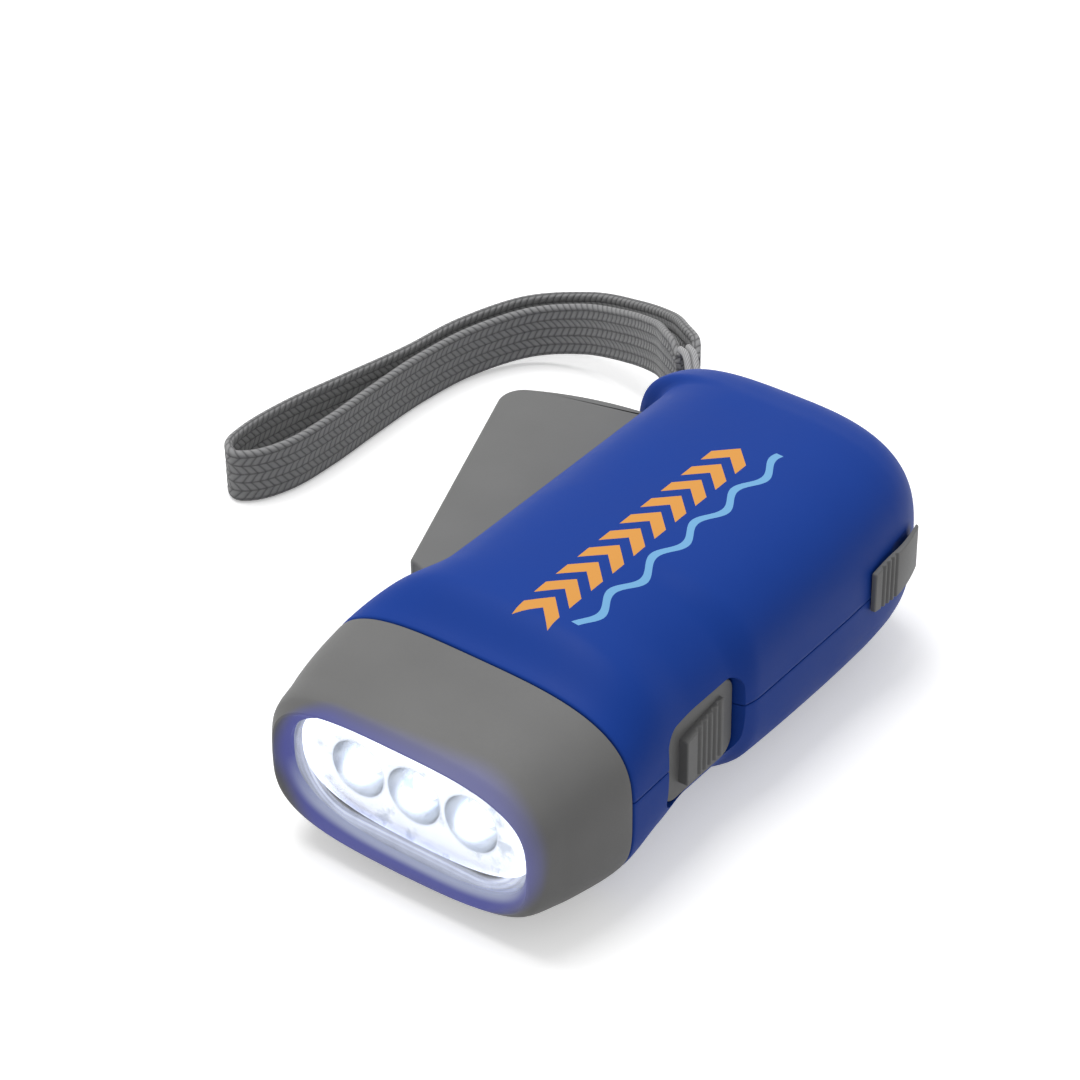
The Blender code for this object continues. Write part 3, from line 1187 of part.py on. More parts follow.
def boss_cutters(upper):
    """What stands up from the floor, or hangs from the roof, inside the room."""
    made, tag = [], "high" if upper else "low"
    floor, roof = -OVERRUN, BODY_HEIGHT + OVERRUN

    def boss(name, centre, radius, reach, count=18):
        low, high = (reach, roof) if upper else (floor, reach)
        made.append(rod(f"{name}_boss_{tag}", centre, radius, low, high, count))

    for name, (axis, low, high) in AXLES.items():
        boss(name, axis, AXLE_BOSS_RADIUS, high + GAP if upper else low - GAP)
    clear_of_lever = LEVER_SLOT_PLAY + GAP / 2
    over_lever, under_lever = LEVER_HIGH_Z + clear_of_lever, LEVER_LOW_Z - clear_of_lever
    boss("pivot", PIVOT, PIVOT_BOSS_RADIUS, over_lever if upper else under_lever)
    edge = STRAP_SLOT_HEIGHT / 2 - GAP / 2
    reach = STRAP_SLOT_Z + (edge if upper else -edge)
    boss("strap_post", STRAP_POST, STRAP_POST_RADIUS + WALL / 2, reach, 16)
    if upper:
        for name, (x, y, _) in SCREW_PLACES.items():
            boss(name, (x, y), SCREW_BOSS_RADIUS, floor)
        for i, place in enumerate(CIRCUIT_POSTS):
            profile = (
                (POST_PEG_RADIUS, CIRCUIT_Z - GAP),
                (POST_PEG_RADIUS, CIRCUIT_TOP_Z + GAP),
                (POST_RADIUS, CIRCUIT_TOP_Z + GAP),
                (POST_RADIUS, roof),
            )
            made.append(turned(f"board_post_{i}", place, profile, 12))
        boss("spring", SPRING_POST, SPRING_POST_RADIUS, SPRING_LOW_Z + SPRING_PITCH, 12)
    return made


def cell_posts():
    """Round posts beside the cell that keep it in its place, and lower ones that it lies on."""
    made = []
    for i, turn in enumerate(CELL_POST_TURNS):
        for name, reach, top in (
            ("seat", CELL_RADIUS - 2 * CELL_POST_RADIUS, CELL_LOW_Z - GAP),
            ("guide", CELL_RADIUS + GAP + CELL_POST_RADIUS, CELL_LOW_Z + CELL_HEIGHT / 2),
        ):
            centre = (CELL_CENTRE[0] + reach * math.cos(turn), CELL_CENTRE[1] + reach * math.sin(turn))
            made.append(rod(f"cell_{name}_{i}", centre, CELL_POST_RADIUS, -OVERRUN, top, 12))
    return made


def switch_pads():
    """Thicker wall behind the power slider and the lock, so that their flats don't cut through."""
    reach, margin = SWITCH_PLATE_HEIGHT / 2 + WALL, SWITCH_PAD_MARGIN
    low = (SWITCH_PAD_X, SWITCH_PLATE_FRONT_Y - SWITCH_TRAVEL - margin, SWITCH_Z - reach)
    high = (HALF_WIDTH + OVERRUN, SWITCH_PLATE_REAR_Y + margin, SWITCH_Z + reach)
    return [block("switch_pad", low, high)]


def stator_seats():
    """Ribs under the iron core's two legs, which it stands on."""
    made = []
    for side in (-1, 1):
        x = ROTOR_AXIS[0] + side * (SHOE_OUTER - SHOE_THICKNESS / 2)
        y_low, y_high = CORE_LEG_Y + COIL_WIDTH / 2 + 2 * GAP, ROTOR_AXIS[1] - FLYWHEEL_RADIUS - 2 * GAP
        low = (x - SHOE_THICKNESS / 2, y_low, -OVERRUN)
        high = (x + SHOE_THICKNESS / 2, y_high, CORE_LOW_Z - GAP)
        made.append(block(f"core_seat_{side + 1}", low, high))
    return made


def shell_openings():
    """All that goes through the walls: the lever's slot, the sliders' flats and slots, the strap slot."""
    slot_low, slot_high = LEVER_LOW_Z - LEVER_SLOT_PLAY, LEVER_HIGH_Z + LEVER_SLOT_PLAY
    made = [
        block(
            "lever_slot",
            (-HALF_WIDTH - OVERRUN, LEVER_SLOT_FRONT_Y, slot_low),
            (LEVER_SLOT_DEPTH_X, LEVER_SLOT_REAR_Y, slot_high),
        )
    ]
    pocket_front = SWITCH_PLATE_FRONT_Y - SWITCH_TRAVEL - 2 * GAP
    made.append(
        rounded_plate(
            "switch_pocket",
            SWITCH_FLOOR_X,
            HALF_WIDTH + OVERRUN,
            pocket_front,
            SWITCH_PLATE_REAR_Y + GAP,
            SWITCH_Z,
            SWITCH_PLATE_HEIGHT + 2 * GAP,
            SWITCH_PLATE_CORNER,
        )
    )
    reach = STEM_LENGTH / 2 + GAP
    made.append(
        block(
            "switch_window",
            (SWITCH_PAD_X - OVERRUN, STEM_Y - SWITCH_TRAVEL - reach, SWITCH_Z - STEM_HEIGHT / 2 - GAP),
            (SWITCH_FLOOR_X + OVERRUN, STEM_Y + reach, SWITCH_Z + STEM_HEIGHT / 2 + GAP),
        )
    )
    made.append(
        block(
            "lock_flat",
            (LOCK_FLAT_X, LOCK_FRONT_Y - LOCK_TRAVEL - 2 * GAP, LOCK_Z - LOCK_HEIGHT / 2 - GAP),
            (HALF_WIDTH + OVERRUN, TAIL_Y, LOCK_Z + LOCK_HEIGHT / 2 + GAP),
        )
    )
    reach = LOCK_STEM_LENGTH / 2 + GAP
    window_low, window_high = LOCK_Z - LOCK_STEM_HEIGHT / 2 - GAP, LOCK_Z + LOCK_STEM_HEIGHT / 2 + GAP
    made.append(
        block(
            "lock_window",
            (LOCK_FINGER_BACK_X - OVERRUN, LOCK_STEM_Y - LOCK_TRAVEL - reach, window_low),
            (HALF_WIDTH + OVERRUN, LOCK_STEM_Y + reach, window_high),
        )
    )
    made.append(
        block(
            "strap_slot",
            (STRAP_SLOT_LOW_X, STRAP_SLOT_DEPTH_Y, STRAP_SLOT_Z - STRAP_SLOT_HEIGHT / 2),
            (STRAP_SLOT_HIGH_X, TAIL_Y + OVERRUN, STRAP_SLOT_Z + STRAP_SLOT_HEIGHT / 2),
        )
    )
    return made


def pin_sockets():
    made = []
    for name, (axis, _, _) in AXLES.items():
        start, end = axle_span(name)
        radius = AXLE_RADIUS + PIN_FIT
        made.append(rod(f"{name}_socket", axis, radius, start - GAP, end + GAP, AXLE_SIDE_COUNT))
    pivot_low, pivot_high = PIVOT_LOW_Z - GAP, PIVOT_HIGH_Z + GAP
    made.append(rod("pivot_socket", PIVOT, PIVOT_PIN_RADIUS + PIN_FIT, pivot_low, pivot_high, 16))
    post_low, post_high = STRAP_POST_LOW_Z - GAP, STRAP_POST_HIGH_Z + GAP
    made.append(rod("post_socket", STRAP_POST, STRAP_POST_RADIUS + PIN_FIT, post_low, post_high, 14))
    for name, (x, y, head_low) in SCREW_PLACES.items():
        head_top = head_low + SCREW_HEAD_HEIGHT + GAP
        profile = (
            (SCREW_HEAD_RADIUS + GAP, -OVERRUN),
            (SCREW_HEAD_RADIUS + GAP, head_top),
            (SCREW_SHANK_RADIUS + PIN_FIT, head_top),
            (SCREW_SHANK_RADIUS + PIN_FIT, SCREW_TOP_Z + GAP),
        )
        made.append(turned(f"{name}_hole", (x, y), profile, 16))
    return made


def make_shells():
    upper = make_skin("upper_shell", BLUE_SOFT)
    lower = make_skin("lower_shell", BLUE_SOFT)
    cavity = make_cavity("shell_cavity")
    cut(cavity, *boss_cutters(True), *boss_cutters(False), *cell_posts(), *switch_pads(), *stator_seats())
    reach = BODY_LENGTH
    floor, roof = -OVERRUN, BODY_HEIGHT + OVERRUN
    below = block("below_parting", (-reach, -reach, floor), (reach, reach, MID_Z + GAP / 2))
    above = block("above_parting", (-reach, -reach, MID_Z - GAP / 2), (reach, reach, roof))
    openings, sockets = shell_openings(), pin_sockets()
    cut(upper, below, *openings, cavity, *sockets)
    cut(lower, above, *openings, cavity, *sockets)
    return upper, lower


upper_shell, lower_shell = make_shells()


def make_screw(name, place, head_low):
    head_top = head_low + SCREW_HEAD_HEIGHT
    profile = (
        (SCREW_HEAD_RADIUS, head_low),
        (SCREW_HEAD_RADIUS, head_top),
        (SCREW_SHANK_RADIUS, head_top),
        (SCREW_SHANK_RADIUS, SCREW_TOP_Z),
    )
    body = turned(name, place, profile, 16, STEEL)
    narrow, long = SCREW_SLOT_WIDTH, SCREW_HEAD_RADIUS
    for i, (wide, deep) in enumerate(((narrow, long), (long, narrow))):
        low = (place[0] - wide / 2, place[1] - deep / 2, head_low - OVERRUN)
        high = (place[0] + wide / 2, place[1] + deep / 2, head_low + SCREW_SLOT_DEPTH)
        cut(body, block(f"{name}_slot_{i}", low, high))
    return body


for screw_name, (screw_x, screw_y, screw_head_low) in SCREW_PLACES.items():
    make_screw(screw_name, (screw_x, screw_y), screw_head_low)

# Return spring: a torsion spring round the lever's hub, one leg on the shell and one on the lever
SPRING_TURNS = 2.75
SPRING_START = 60 * DEG
SPRING_LEVER_LEG = 8 * MM
SPRING_SHELL_LEG = 9 * MM
SPRING_STEP_COUNT = 12


def wire(name, points, radius, finish, resolution=1):
    """A round wire or cord through points, with filled ends."""
    curve = bpy.data.curves.new(name, "CURVE")
    curve.dimensions = "3D"
    curve.bevel_depth = radius
    curve.bevel_resolution = resolution
    curve.use_fill_caps = True
    spline = curve.splines.new("POLY")
    spline.points.add(len(points) - 1)
    for slot, point in zip(spline.points, points):
        slot.co = (*point, 1.0)
    made = bpy.data.objects.new(name, curve)
    bpy.context.scene.collection.objects.link(made)
    curve.materials.append(finish)
    return made


def spring_points():
    """The spring's middle line: a straight leg, the coils as a helix, and the other leg."""
    steps = round(SPRING_TURNS * SPRING_STEP_COUNT)
    turns = [SPRING_START + 2 * math.pi * SPRING_TURNS * i / steps for i in range(steps + 1)]
    rises = [SPRING_LOW_Z + SPRING_PITCH * SPRING_TURNS * i / steps for i in range(steps + 1)]
    points = [(*polar(SPRING_COIL_RADIUS, turn), rise) for turn, rise in zip(turns, rises)]
    first, last = points[0], points[-1]
    back, on = -SPRING_LEVER_LEG, SPRING_SHELL_LEG
    head = (first[0] + back * math.cos(turns[0]), first[1] - back * math.sin(turns[0]), first[2])
    tail = (last[0] + on * math.cos(turns[-1]), last[1] - on * math.sin(turns[-1]), last[2])
    return [head] + points + [tail]


return_spring = wire("return_spring", spring_points(), SPRING_WIRE_RADIUS, STEEL)

# Wrist strap: a flat braided tape folded into a loop, and a thin cord held between its ends, round the post
TAPE_WIDTH = 10.4 * MM
TAPE_THICKNESS = 1.5 * MM
TAPE_ROUTE = tuple(
    (x * MM, y * MM, z * MM)
    for x, y, z in (
        (-32.8, 60.6, 23.6), (-36.6, 66.2, 20.8), (-44.0, 73.2, 16.8), (-54.0, 78.4, 12.6),
        (-65.5, 80.3, 9.0), (-74.6, 76.5, 6.9), (-80.6, 66.5, 5.7), (-82.8, 54.0, 5.4),
        (-83.0, 41.0, 5.4), (-82.9, 29.0, 5.4), (-83.8, 19.0, 5.4), (-86.4, 13.0, 5.4),
        (-89.2, 10.9, 5.4), (-92.0, 12.6, 5.4), (-93.0, 18.0, 5.4), (-92.2, 28.0, 5.4),
        (-89.4, 41.0, 5.4), (-86.4, 54.5, 5.4), (-84.0, 67.5, 5.8), (-77.6, 79.6, 6.9),
        (-66.4, 84.8, 9.0), (-54.0, 82.6, 12.6), (-43.2, 77.2, 16.8), (-35.2, 70.2, 20.8),
        (-30.6, 65.4, 23.6),
    )
)
TAPE_RINGS = 72
CORD_RADIUS = 0.95 * MM
CORD_ROUTE = tuple(
    (x * MM, y * MM, z * MM)
    for x, y, z in (
        (-33.2, 64.6, 25.6), (-30.8, 63.0, 25.2), (-26.6, 59.8, 23.2), (-22.0, 55.4, 20.9),
        (-17.2, 51.2, 20.0), (-14.9, 48.4, 19.6), (-14.7, 45.8, 19.3), (-16.4, 44.1, 19.2),
        (-18.8, 44.2, 19.0), (-20.2, 46.2, 18.8), (-20.6, 49.4, 18.8), (-23.2, 53.8, 19.2),
        (-27.4, 58.8, 20.8), (-31.2, 62.8, 22.6), (-33.4, 64.8, 22.9),
    )
)
CORD_POINT_COUNT = 40


def smooth_route(points, count):
    """Evenly spread points on a smooth curve through a route, by centripetal Catmull-Rom pieces."""
    route = np.array(points, float)
    padded = np.vstack([2 * route[0] - route[1], route, 2 * route[-1] - route[-2]])
    fine = []
    for a, b, c, d in zip(padded, padded[1:], padded[2:], padded[3:]):
        t1 = np.linalg.norm(b - a) ** 0.5
        t2 = t1 + np.linalg.norm(c - b) ** 0.5
        t3 = t2 + np.linalg.norm(d - c) ** 0.5
        for t in np.linspace(t1, t2, 12, endpoint=False):
            ab = a * (t1 - t) / t1 + b * t / t1
            bc = b * (t2 - t) / (t2 - t1) + c * (t - t1) / (t2 - t1)
            cd = c * (t3 - t) / (t3 - t2) + d * (t - t2) / (t3 - t2)
            abc = ab * (t2 - t) / t2 + bc * t / t2
            bcd = bc * (t3 - t) / (t3 - t1) + cd * (t - t1) / (t3 - t1)
            fine.append(abc * (t2 - t) / (t2 - t1) + bcd * (t - t1) / (t2 - t1))
    fine = np.array(fine + [route[-1]])
    reach = np.concatenate([[0], np.cumsum(np.linalg.norm(np.diff(fine, axis=0), axis=1))])
    at = np.linspace(0, reach[-1], count)
    return np.stack([np.interp(at, reach, fine[:, k]) for k in range(3)], axis=1), float(reach[-1])


def make_tape():
    """The tape stands on its edge, so each ring is a thin upright section across the route."""
    points, length = smooth_route(TAPE_ROUTE, TAPE_RINGS)
    rings = []
    for i, point in enumerate(points):
        way = points[min(i + 1, len(points) - 1)] - points[max(i - 1, 0)]
        side = np.array([-way[1], way[0], 0.0])
        side *= TAPE_THICKNESS / 2 / np.linalg.norm(side)
        up = np.array([0.0, 0.0, TAPE_WIDTH / 2])
        rings.append([point + side - up, point + side + up, point - side + up, point - side - up])
    print(f"tape length {length / MM:.1f} mm")
    return loft("strap_tape", rings, WEBBING)


strap_tape = make_tape()
cord_points, cord_length = smooth_route(CORD_ROUTE, CORD_POINT_COUNT)
strap_cord = wire("strap_cord", cord_points, CORD_RADIUS, WEBBING)
print(f"cord length {cord_length / MM:.1f} mm")
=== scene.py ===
"""Look scene of a hand-squeezed dynamo flashlight.

A soft-touch body, a squeeze lever, three lit lamps behind a clear window, and a braided wrist strap.
"""

import math

import bpy
import numpy as np
from mathutils import Matrix, Vector


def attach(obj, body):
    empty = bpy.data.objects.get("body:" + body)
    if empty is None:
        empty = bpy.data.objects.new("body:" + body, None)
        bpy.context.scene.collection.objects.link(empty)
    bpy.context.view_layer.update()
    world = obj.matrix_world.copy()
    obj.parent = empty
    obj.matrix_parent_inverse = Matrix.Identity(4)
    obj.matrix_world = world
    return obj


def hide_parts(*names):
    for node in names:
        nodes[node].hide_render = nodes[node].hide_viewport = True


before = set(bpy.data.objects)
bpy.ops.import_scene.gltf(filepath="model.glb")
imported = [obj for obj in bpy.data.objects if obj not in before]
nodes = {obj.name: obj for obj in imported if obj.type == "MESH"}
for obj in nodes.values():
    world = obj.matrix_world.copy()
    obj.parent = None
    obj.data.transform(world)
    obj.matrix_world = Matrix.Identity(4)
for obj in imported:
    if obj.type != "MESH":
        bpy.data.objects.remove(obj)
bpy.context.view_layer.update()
MM = 0.001

# Camera. The flashlight is seen from above its front right corner with a long lens, as on a
# catalogue page. The direction is the one that puts the body off the middle of the frame.
EYE_POINT = Vector((0.2469, -0.3360, 0.3335))
EYE_BACK = Vector((0.4716, -0.6419, 0.6046))
EYE_RIGHT = Vector((0.8059, 0.5920, 0.0))
AIM_RIGHT = 0.02142
AIM_UP = 0.02865
EYE_LENS = 111.13

eye = bpy.data.objects.new("catalogue_camera", bpy.data.cameras.new("catalogue_camera"))
bpy.context.scene.collection.objects.link(eye)
eye.data.sensor_width = 36
eye.data.sensor_fit = "HORIZONTAL"
eye.data.lens = EYE_LENS
eye.data.clip_start = 0.01
eye.location = EYE_POINT
eye_up = EYE_BACK.cross(EYE_RIGHT)
sight = -EYE_BACK - AIM_RIGHT * EYE_RIGHT + AIM_UP * eye_up
level = Matrix((EYE_RIGHT, eye_up, EYE_BACK)).transposed().to_quaternion()
eye.rotation_euler = ((-EYE_BACK).rotation_difference(sight) @ level).to_euler()
bpy.context.scene.camera = eye

# Wrist strap tape. A flat grey polyester tape, plaited in six lengthwise ribs, folded into one loop
# with both ends sewn round the thin cord. It stands on its edge and lies on the table at its far end.
TAPE_WIDTH = 10.4 * MM
TAPE_THICKNESS = 1.5 * MM
TAPE_RIBS = 6
TAPE_RELIEF = 0.11 * MM
TAPE_SEWN = 5 * MM
TAPE_SEWN_SHARE = 0.66
TAPE_END_ROUND = 0.9 * MM
TAPE_STEPS = 520
TAPE_STRAND = 1.35 * MM
TAPE_ROUTE = MM * np.array(
    (
        (-29.8, 61.0, 23.0), (-36.6, 66.4, 20.8), (-44.0, 73.2, 16.8), (-54.0, 78.4, 12.6),
        (-65.5, 80.3, 9.0), (-74.6, 76.5, 6.9), (-80.6, 66.5, 5.7), (-82.8, 54.0, 5.4),
        (-83.0, 41.0, 5.4), (-82.9, 29.0, 5.4), (-83.8, 19.0, 5.4), (-86.4, 13.0, 5.4),
        (-89.2, 10.9, 5.4), (-92.0, 12.6, 5.4), (-93.0, 18.0, 5.4), (-92.2, 28.0, 5.4),
        (-89.4, 41.0, 5.4), (-86.4, 54.5, 5.4), (-84.0, 67.5, 5.8), (-77.6, 79.6, 6.9),
        (-66.4, 84.8, 9.0), (-54.0, 82.6, 12.6), (-43.2, 77.2, 16.8), (-35.2, 70.2, 20.8),
        (-30.4, 66.2, 22.2), (-27.8, 62.4, 22.6),
    )
)


def grid_piece(name, points, round_section=True, joined_ends=False, caps=True, uv=None, angle=35):
    """A mesh of four-sided faces between the neighbours of a grid of points.

    Rows follow each other along the piece. With round_section the last column meets the first, with
    joined_ends the last row meets the first, and caps closes the first and last rows with one face
    each. uv has one more column than the points where the section is round. A closed mesh whose
    signed volume is negative is turned round, so that it faces outwards.
    """
    rows, columns = points.shape[:2]
    row = np.arange(rows if joined_ends else rows - 1)[:, None]
    column = np.arange(columns if round_section else columns - 1)[None, :]
    corners = ((row, column), (row, column + 1), (row + 1, column + 1), (row + 1, column))
    quads = np.stack([r % rows * columns + c % columns for r, c in corners], axis=-1).reshape(-1, 4)
    flat = points.reshape(-1, 3)
    a, b, c, d = (flat[quads[:, k]] for k in range(4))
    volume = (np.cross(a, b) * c).sum() + (np.cross(a, c) * d).sum()
    ends = []
    if caps and not joined_ends:
        ends = [np.arange(columns)[::-1], (rows - 1) * columns + np.arange(columns)]
        for end in ends:
            middle = flat[end].mean(0)
            volume += (np.cross(middle, flat[end]) * flat[np.roll(end, -1)]).sum()
    turned_round = volume < 0
    if turned_round:
        quads = quads[:, ::-1]
        ends = [end[::-1] for end in ends]
    mesh = bpy.data.meshes.new(name)
    mesh.from_pydata(flat.tolist(), [], quads.tolist() + [end.tolist() for end in ends])
    if uv is not None:
        places = np.stack([uv[r, c] for r, c in corners], axis=2).reshape(-1, 4, 2)
        if turned_round:
            places = places[:, ::-1]
        values = np.zeros((len(mesh.loops), 2))
        values[: places.shape[0] * 4] = places.reshape(-1, 2)
        mesh.uv_layers.new(name="along").data.foreach_set("uv", values.ravel())
    mesh.update()
    mesh.shade_smooth()
    mesh.set_sharp_from_angle(angle=math.radians(angle))
    made = bpy.data.objects.new(name, mesh)
    bpy.context.scene.collection.objects.link(made)
    return made


def reach_along(points):
    """How far along a row of points each one lies: the running sum of the steps."""
    return np.concatenate([[0], np.cumsum(np.linalg.norm(np.diff(points, axis=0), axis=1))])


def smooth_route(points, count):
    """Evenly spread points on a smooth curve through a route, and its length.

    Each piece between two route points is a centripetal Catmull-Rom curve: three steps of blending
    between neighbours, with knots spaced by the square root of the distance.
    """
    padded = np.vstack([2 * points[0] - points[1], points, 2 * points[-1] - points[-2]])
    a, b, c, d = (padded[k : len(padded) - 3 + k][:, None, :] for k in range(4))
    steps = [np.linalg.norm(step, axis=2, keepdims=True) for step in (b - a, c - b, d - c)]
    t1, t2, t3 = np.cumsum(np.sqrt(steps), axis=0)
    t = t1 + (t2 - t1) * np.linspace(0, 1, 24, endpoint=False)[None, :, None]

    def between(first, second, start, end):
        return first * (end - t) / (end - start) + second * (t - start) / (end - start)

    ab, bc, cd = between(a, b, 0, t1), between(b, c, t1, t2), between(c, d, t2, t3)
    fine = between(between(ab, bc, 0, t2), between(bc, cd, t1, t3), t1, t2).reshape(-1, 3)
    fine = np.vstack([fine, points[-1:]])
    reach = reach_along(fine)
    at = np.linspace(0, reach[-1], count)
    return np.stack([np.interp(at, reach, part) for part in fine.T], axis=1), float(reach[-1])


def unit(vectors):
    """The same directions, each one long."""
    return vectors / np.linalg.norm(vectors, axis=1, keepdims=True)


def eased(share):
    """A smooth step: three times the square less twice the cube, from nought to one."""
    share = np.clip(share, 0, 1)
    return share * share * (3 - 2 * share)


def tape_rings(points):
    """The tape's rings: across each point of the route, a long section with round edges and six ribs.

    The section is a stadium: two straight runs as wide as the tape less its thickness, and two half
    circles. Both wide sides are lowest between the ribs, by a sine of the place across without its
    sign. Towards the sewn ends the width shrinks by a smooth step, the thickness by a quarter circle.
    """
    half, straight = TAPE_THICKNESS / 2, TAPE_WIDTH - TAPE_THICKNESS
    girth = 2 * (straight + math.pi * half)
    at = np.linspace(0, girth, 84, endpoint=False)
    run = at % (girth / 2)
    on_round = run > straight
    turn = (run - straight) / half
    rise = np.where(on_round, straight / 2 + half * np.sin(turn), run - straight / 2)
    out = np.where(on_round, half * np.cos(turn), half)
    rib = np.abs(np.sin(math.pi * TAPE_RIBS * (rise / TAPE_WIDTH + 0.5)))
    out = out - np.where(on_round, 0, TAPE_RELIEF * (1 - rib))
    second_side = np.where(at >= girth / 2, -1, 1)
    reach = reach_along(points)
    from_end = np.minimum(reach, reach[-1] - reach)[:, None]
    narrow = TAPE_SEWN_SHARE + (1 - TAPE_SEWN_SHARE) * eased(from_end / TAPE_SEWN)
    thin = np.sqrt(1 - 0.998 * (1 - np.clip(from_end / TAPE_END_ROUND, 0, 1)) ** 2)
    rise, out = rise * second_side * narrow, out * second_side * thin
    way = unit(np.gradient(points, axis=0))
    side = unit(np.stack([-way[:, 1], way[:, 0], np.zeros(len(way))], axis=1))
    up = np.cross(way, side)
    up *= np.sign(up[:, 2:])
    rings = points[:, None] + side[:, None] * out[..., None] + up[:, None] * rise[..., None]
    return rings, np.append(at, girth)


def sign_for(operation):
    """What a sign between figures does: one sum on the values beside it."""
    return lambda *values: reckon(operation, *values)


class Figure:
    """A number, place or colour that a shader works out at each point, with sums written as on numbers."""

    def __init__(self, socket):
        self.socket = socket

    __add__, __sub__ = sign_for("ADD"), sign_for("SUBTRACT")
    __mul__, __truediv__ = sign_for("MULTIPLY"), sign_for("DIVIDE")
    __pow__, __abs__ = sign_for("POWER"), sign_for("ABSOLUTE")
    __gt__, __lt__ = sign_for("GREATER_THAN"), sign_for("LESS_THAN")


def feed(made, feeds):
    """Gives a node its inputs by name or number: figures are linked, the rest is set on the socket."""
    for key, value in feeds.items():
        if isinstance(value, Figure):
            made.id_data.links.new(value.socket, made.inputs[key])
        else:
            made.inputs[key].default_value = value


def worked(kind, feeds, output=0, **settings):
    """What a new shader node gives. At least one of its feeds is a figure."""
    tree = next(value.socket.id_data for value in feeds.values() if isinstance(value, Figure))
    made = tree.nodes.new(kind)
    for key, value in settings.items():
        setattr(made, key, value)
    feed(made, feeds)
    return Figure(made.outputs[output])


def reckon(operation, *values):
    """One sum on one, two or three values."""
    return worked("ShaderNodeMath", dict(enumerate(values)), operation=operation)


def ridges(value, pitch):
    """Even ridges, one to each pitch: a sine without its sign."""
    return abs(reckon("SINE", value * (math.pi / pitch)))


def ramp(value, start, end, low=0.0, high=1.0, kind="LINEAR"):
    """A figure that goes from low to high while a value goes from start to end."""
    feeds = {"Value": value, "From Min": start, "From Max": end, "To Min": low, "To Max": high}
    return worked("ShaderNodeMapRange", feeds, interpolation_type=kind)


def blend(share, first, second):
    """A colour that goes from the first to the second as share goes from 0 to 1."""
    first, second = ((*colour, 1.0) if isinstance(colour, tuple) else colour for colour in (first, second))
    return worked("ShaderNodeMix", {0: share, 6: first, 7: second}, 2, data_type="RGBA")


def noise(place, scale, detail=3.0, rough=0.5):
    """Clouds of about one over the scale in metres, with finer ones on them."""
    feeds = {"Vector": place, "Scale": scale, "Detail": detail, "Roughness": rough}
    return worked("ShaderNodeTexNoise", feeds)


def parts(place):
    """The three parts of a place."""
    return [Figure(part) for part in worked("ShaderNodeSeparateXYZ", {0: place}).socket.node.outputs]


class Finish:
    """A material in the making: its shader, and the places on the object and on the piece's own map."""

    def __init__(self, name, colour, rough, settings=()):
        self.material = bpy.data.materials.new(name)
        self.material.use_nodes = True
        self.material.diffuse_color = (*colour, 1.0)
        self.shader = self.material.node_tree.nodes["Principled BSDF"]
        coords = self.material.node_tree.nodes.new("ShaderNodeTexCoord")
        self.place, self.map = Figure(coords.outputs["Object"]), Figure(coords.outputs["UV"])
        self.set({"Base Color": (*colour, 1.0), "Roughness": rough, **dict(settings)})

    def set(self, feeds):
        feed(self.shader, feeds)
        return self

    def raised(self, height, strength, distance):
        """The height is seen in the light's play alone."""
        bump = {"Height": height, "Strength": strength, "Distance": distance}
        return self.set({"Normal": worked("ShaderNodeBump", bump)})


def coat(piece, finish):
    """The piece gets this finish and no other."""
    piece.data.materials.clear()
    piece.data.materials.append(finish.material)


def woven_finish():
    """Plaited yarn: zigzag strands that turn back at each rib, from the map that follows the tape.

    The strand's phase is the way along plus a triangle wave of the way across, so its lines of equal
    height are chevrons. Grooves between ribs and strands are lower, and painted darker as shade in them.
    """
    gloss = {"Sheen Weight": 0.25, "Specular IOR Level": 0.25}
    yarn = Finish("plaited_polyester", (0.25, 0.25, 0.25), 0.85, gloss)
    along, across, _ = parts(yarn.map)
    along, across = along / TAPE_STRAND, across * (TAPE_RIBS / TAPE_WIDTH)
    strand = ridges(reckon("PINGPONG", across, 1.0) * 0.9 + along, 1.0) ** 0.55
    rib = reckon("SUBTRACT", 1.0, (abs(reckon("FRACT", across) - 0.5) * 2.0) ** 5.0)
    height = noise(yarn.place, 5200.0, 2.0) * 0.25 + strand * rib
    # Painted shade: the low places of the yarn, the grooves, get the dark colour.
    yarn.set({"Base Color": blend(height, (0.085, 0.085, 0.088), (0.320, 0.320, 0.323))})
    return yarn.raised(height, 0.9, 0.22 * MM)


tape_points, tape_length = smooth_route(TAPE_ROUTE, TAPE_STEPS)
tape_grid, tape_girth = tape_rings(tape_points)
tape_map = np.stack(np.meshgrid(np.linspace(0, tape_length, TAPE_STEPS), tape_girth, indexing="ij"), axis=-1)
strap_tape_braid = grid_piece("strap_tape_braid", tape_grid, uv=tape_map, angle=60)
coat(strap_tape_braid, woven_finish())
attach(strap_tape_braid, "body")
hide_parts("strap_tape")

# Strap cord. A thin smooth grey cord of twisted yarn, sewn between the ends of the tape. It goes into
# the slot in the tail, round the steel post and back out.
CORD_RADIUS = 0.64 * MM
CORD_STEPS = 240
CORD_SIDES = 24
CORD_YARN = 0.8 * MM
CORD_ROUTE = MM * np.array(
    (
        (-30.6, 64.2, 26.2), (-27.9, 61.9, 27.0), (-24.9, 58.6, 25.9), (-20.9, 54.6, 22.8),
        (-17.0, 51.2, 20.6), (-14.9, 48.4, 19.6), (-14.7, 45.8, 19.3), (-16.4, 44.1, 19.2),
        (-18.8, 44.2, 19.0), (-20.2, 46.2, 18.8), (-20.8, 49.4, 19.4), (-22.4, 53.4, 22.2),
        (-25.6, 57.4, 25.6), (-28.6, 60.6, 27.2), (-31.2, 62.6, 26.4),
    )
)


def round_turn(count):
    """Even turns right round a circle."""
    return np.linspace(0, 2 * math.pi, count, endpoint=False)


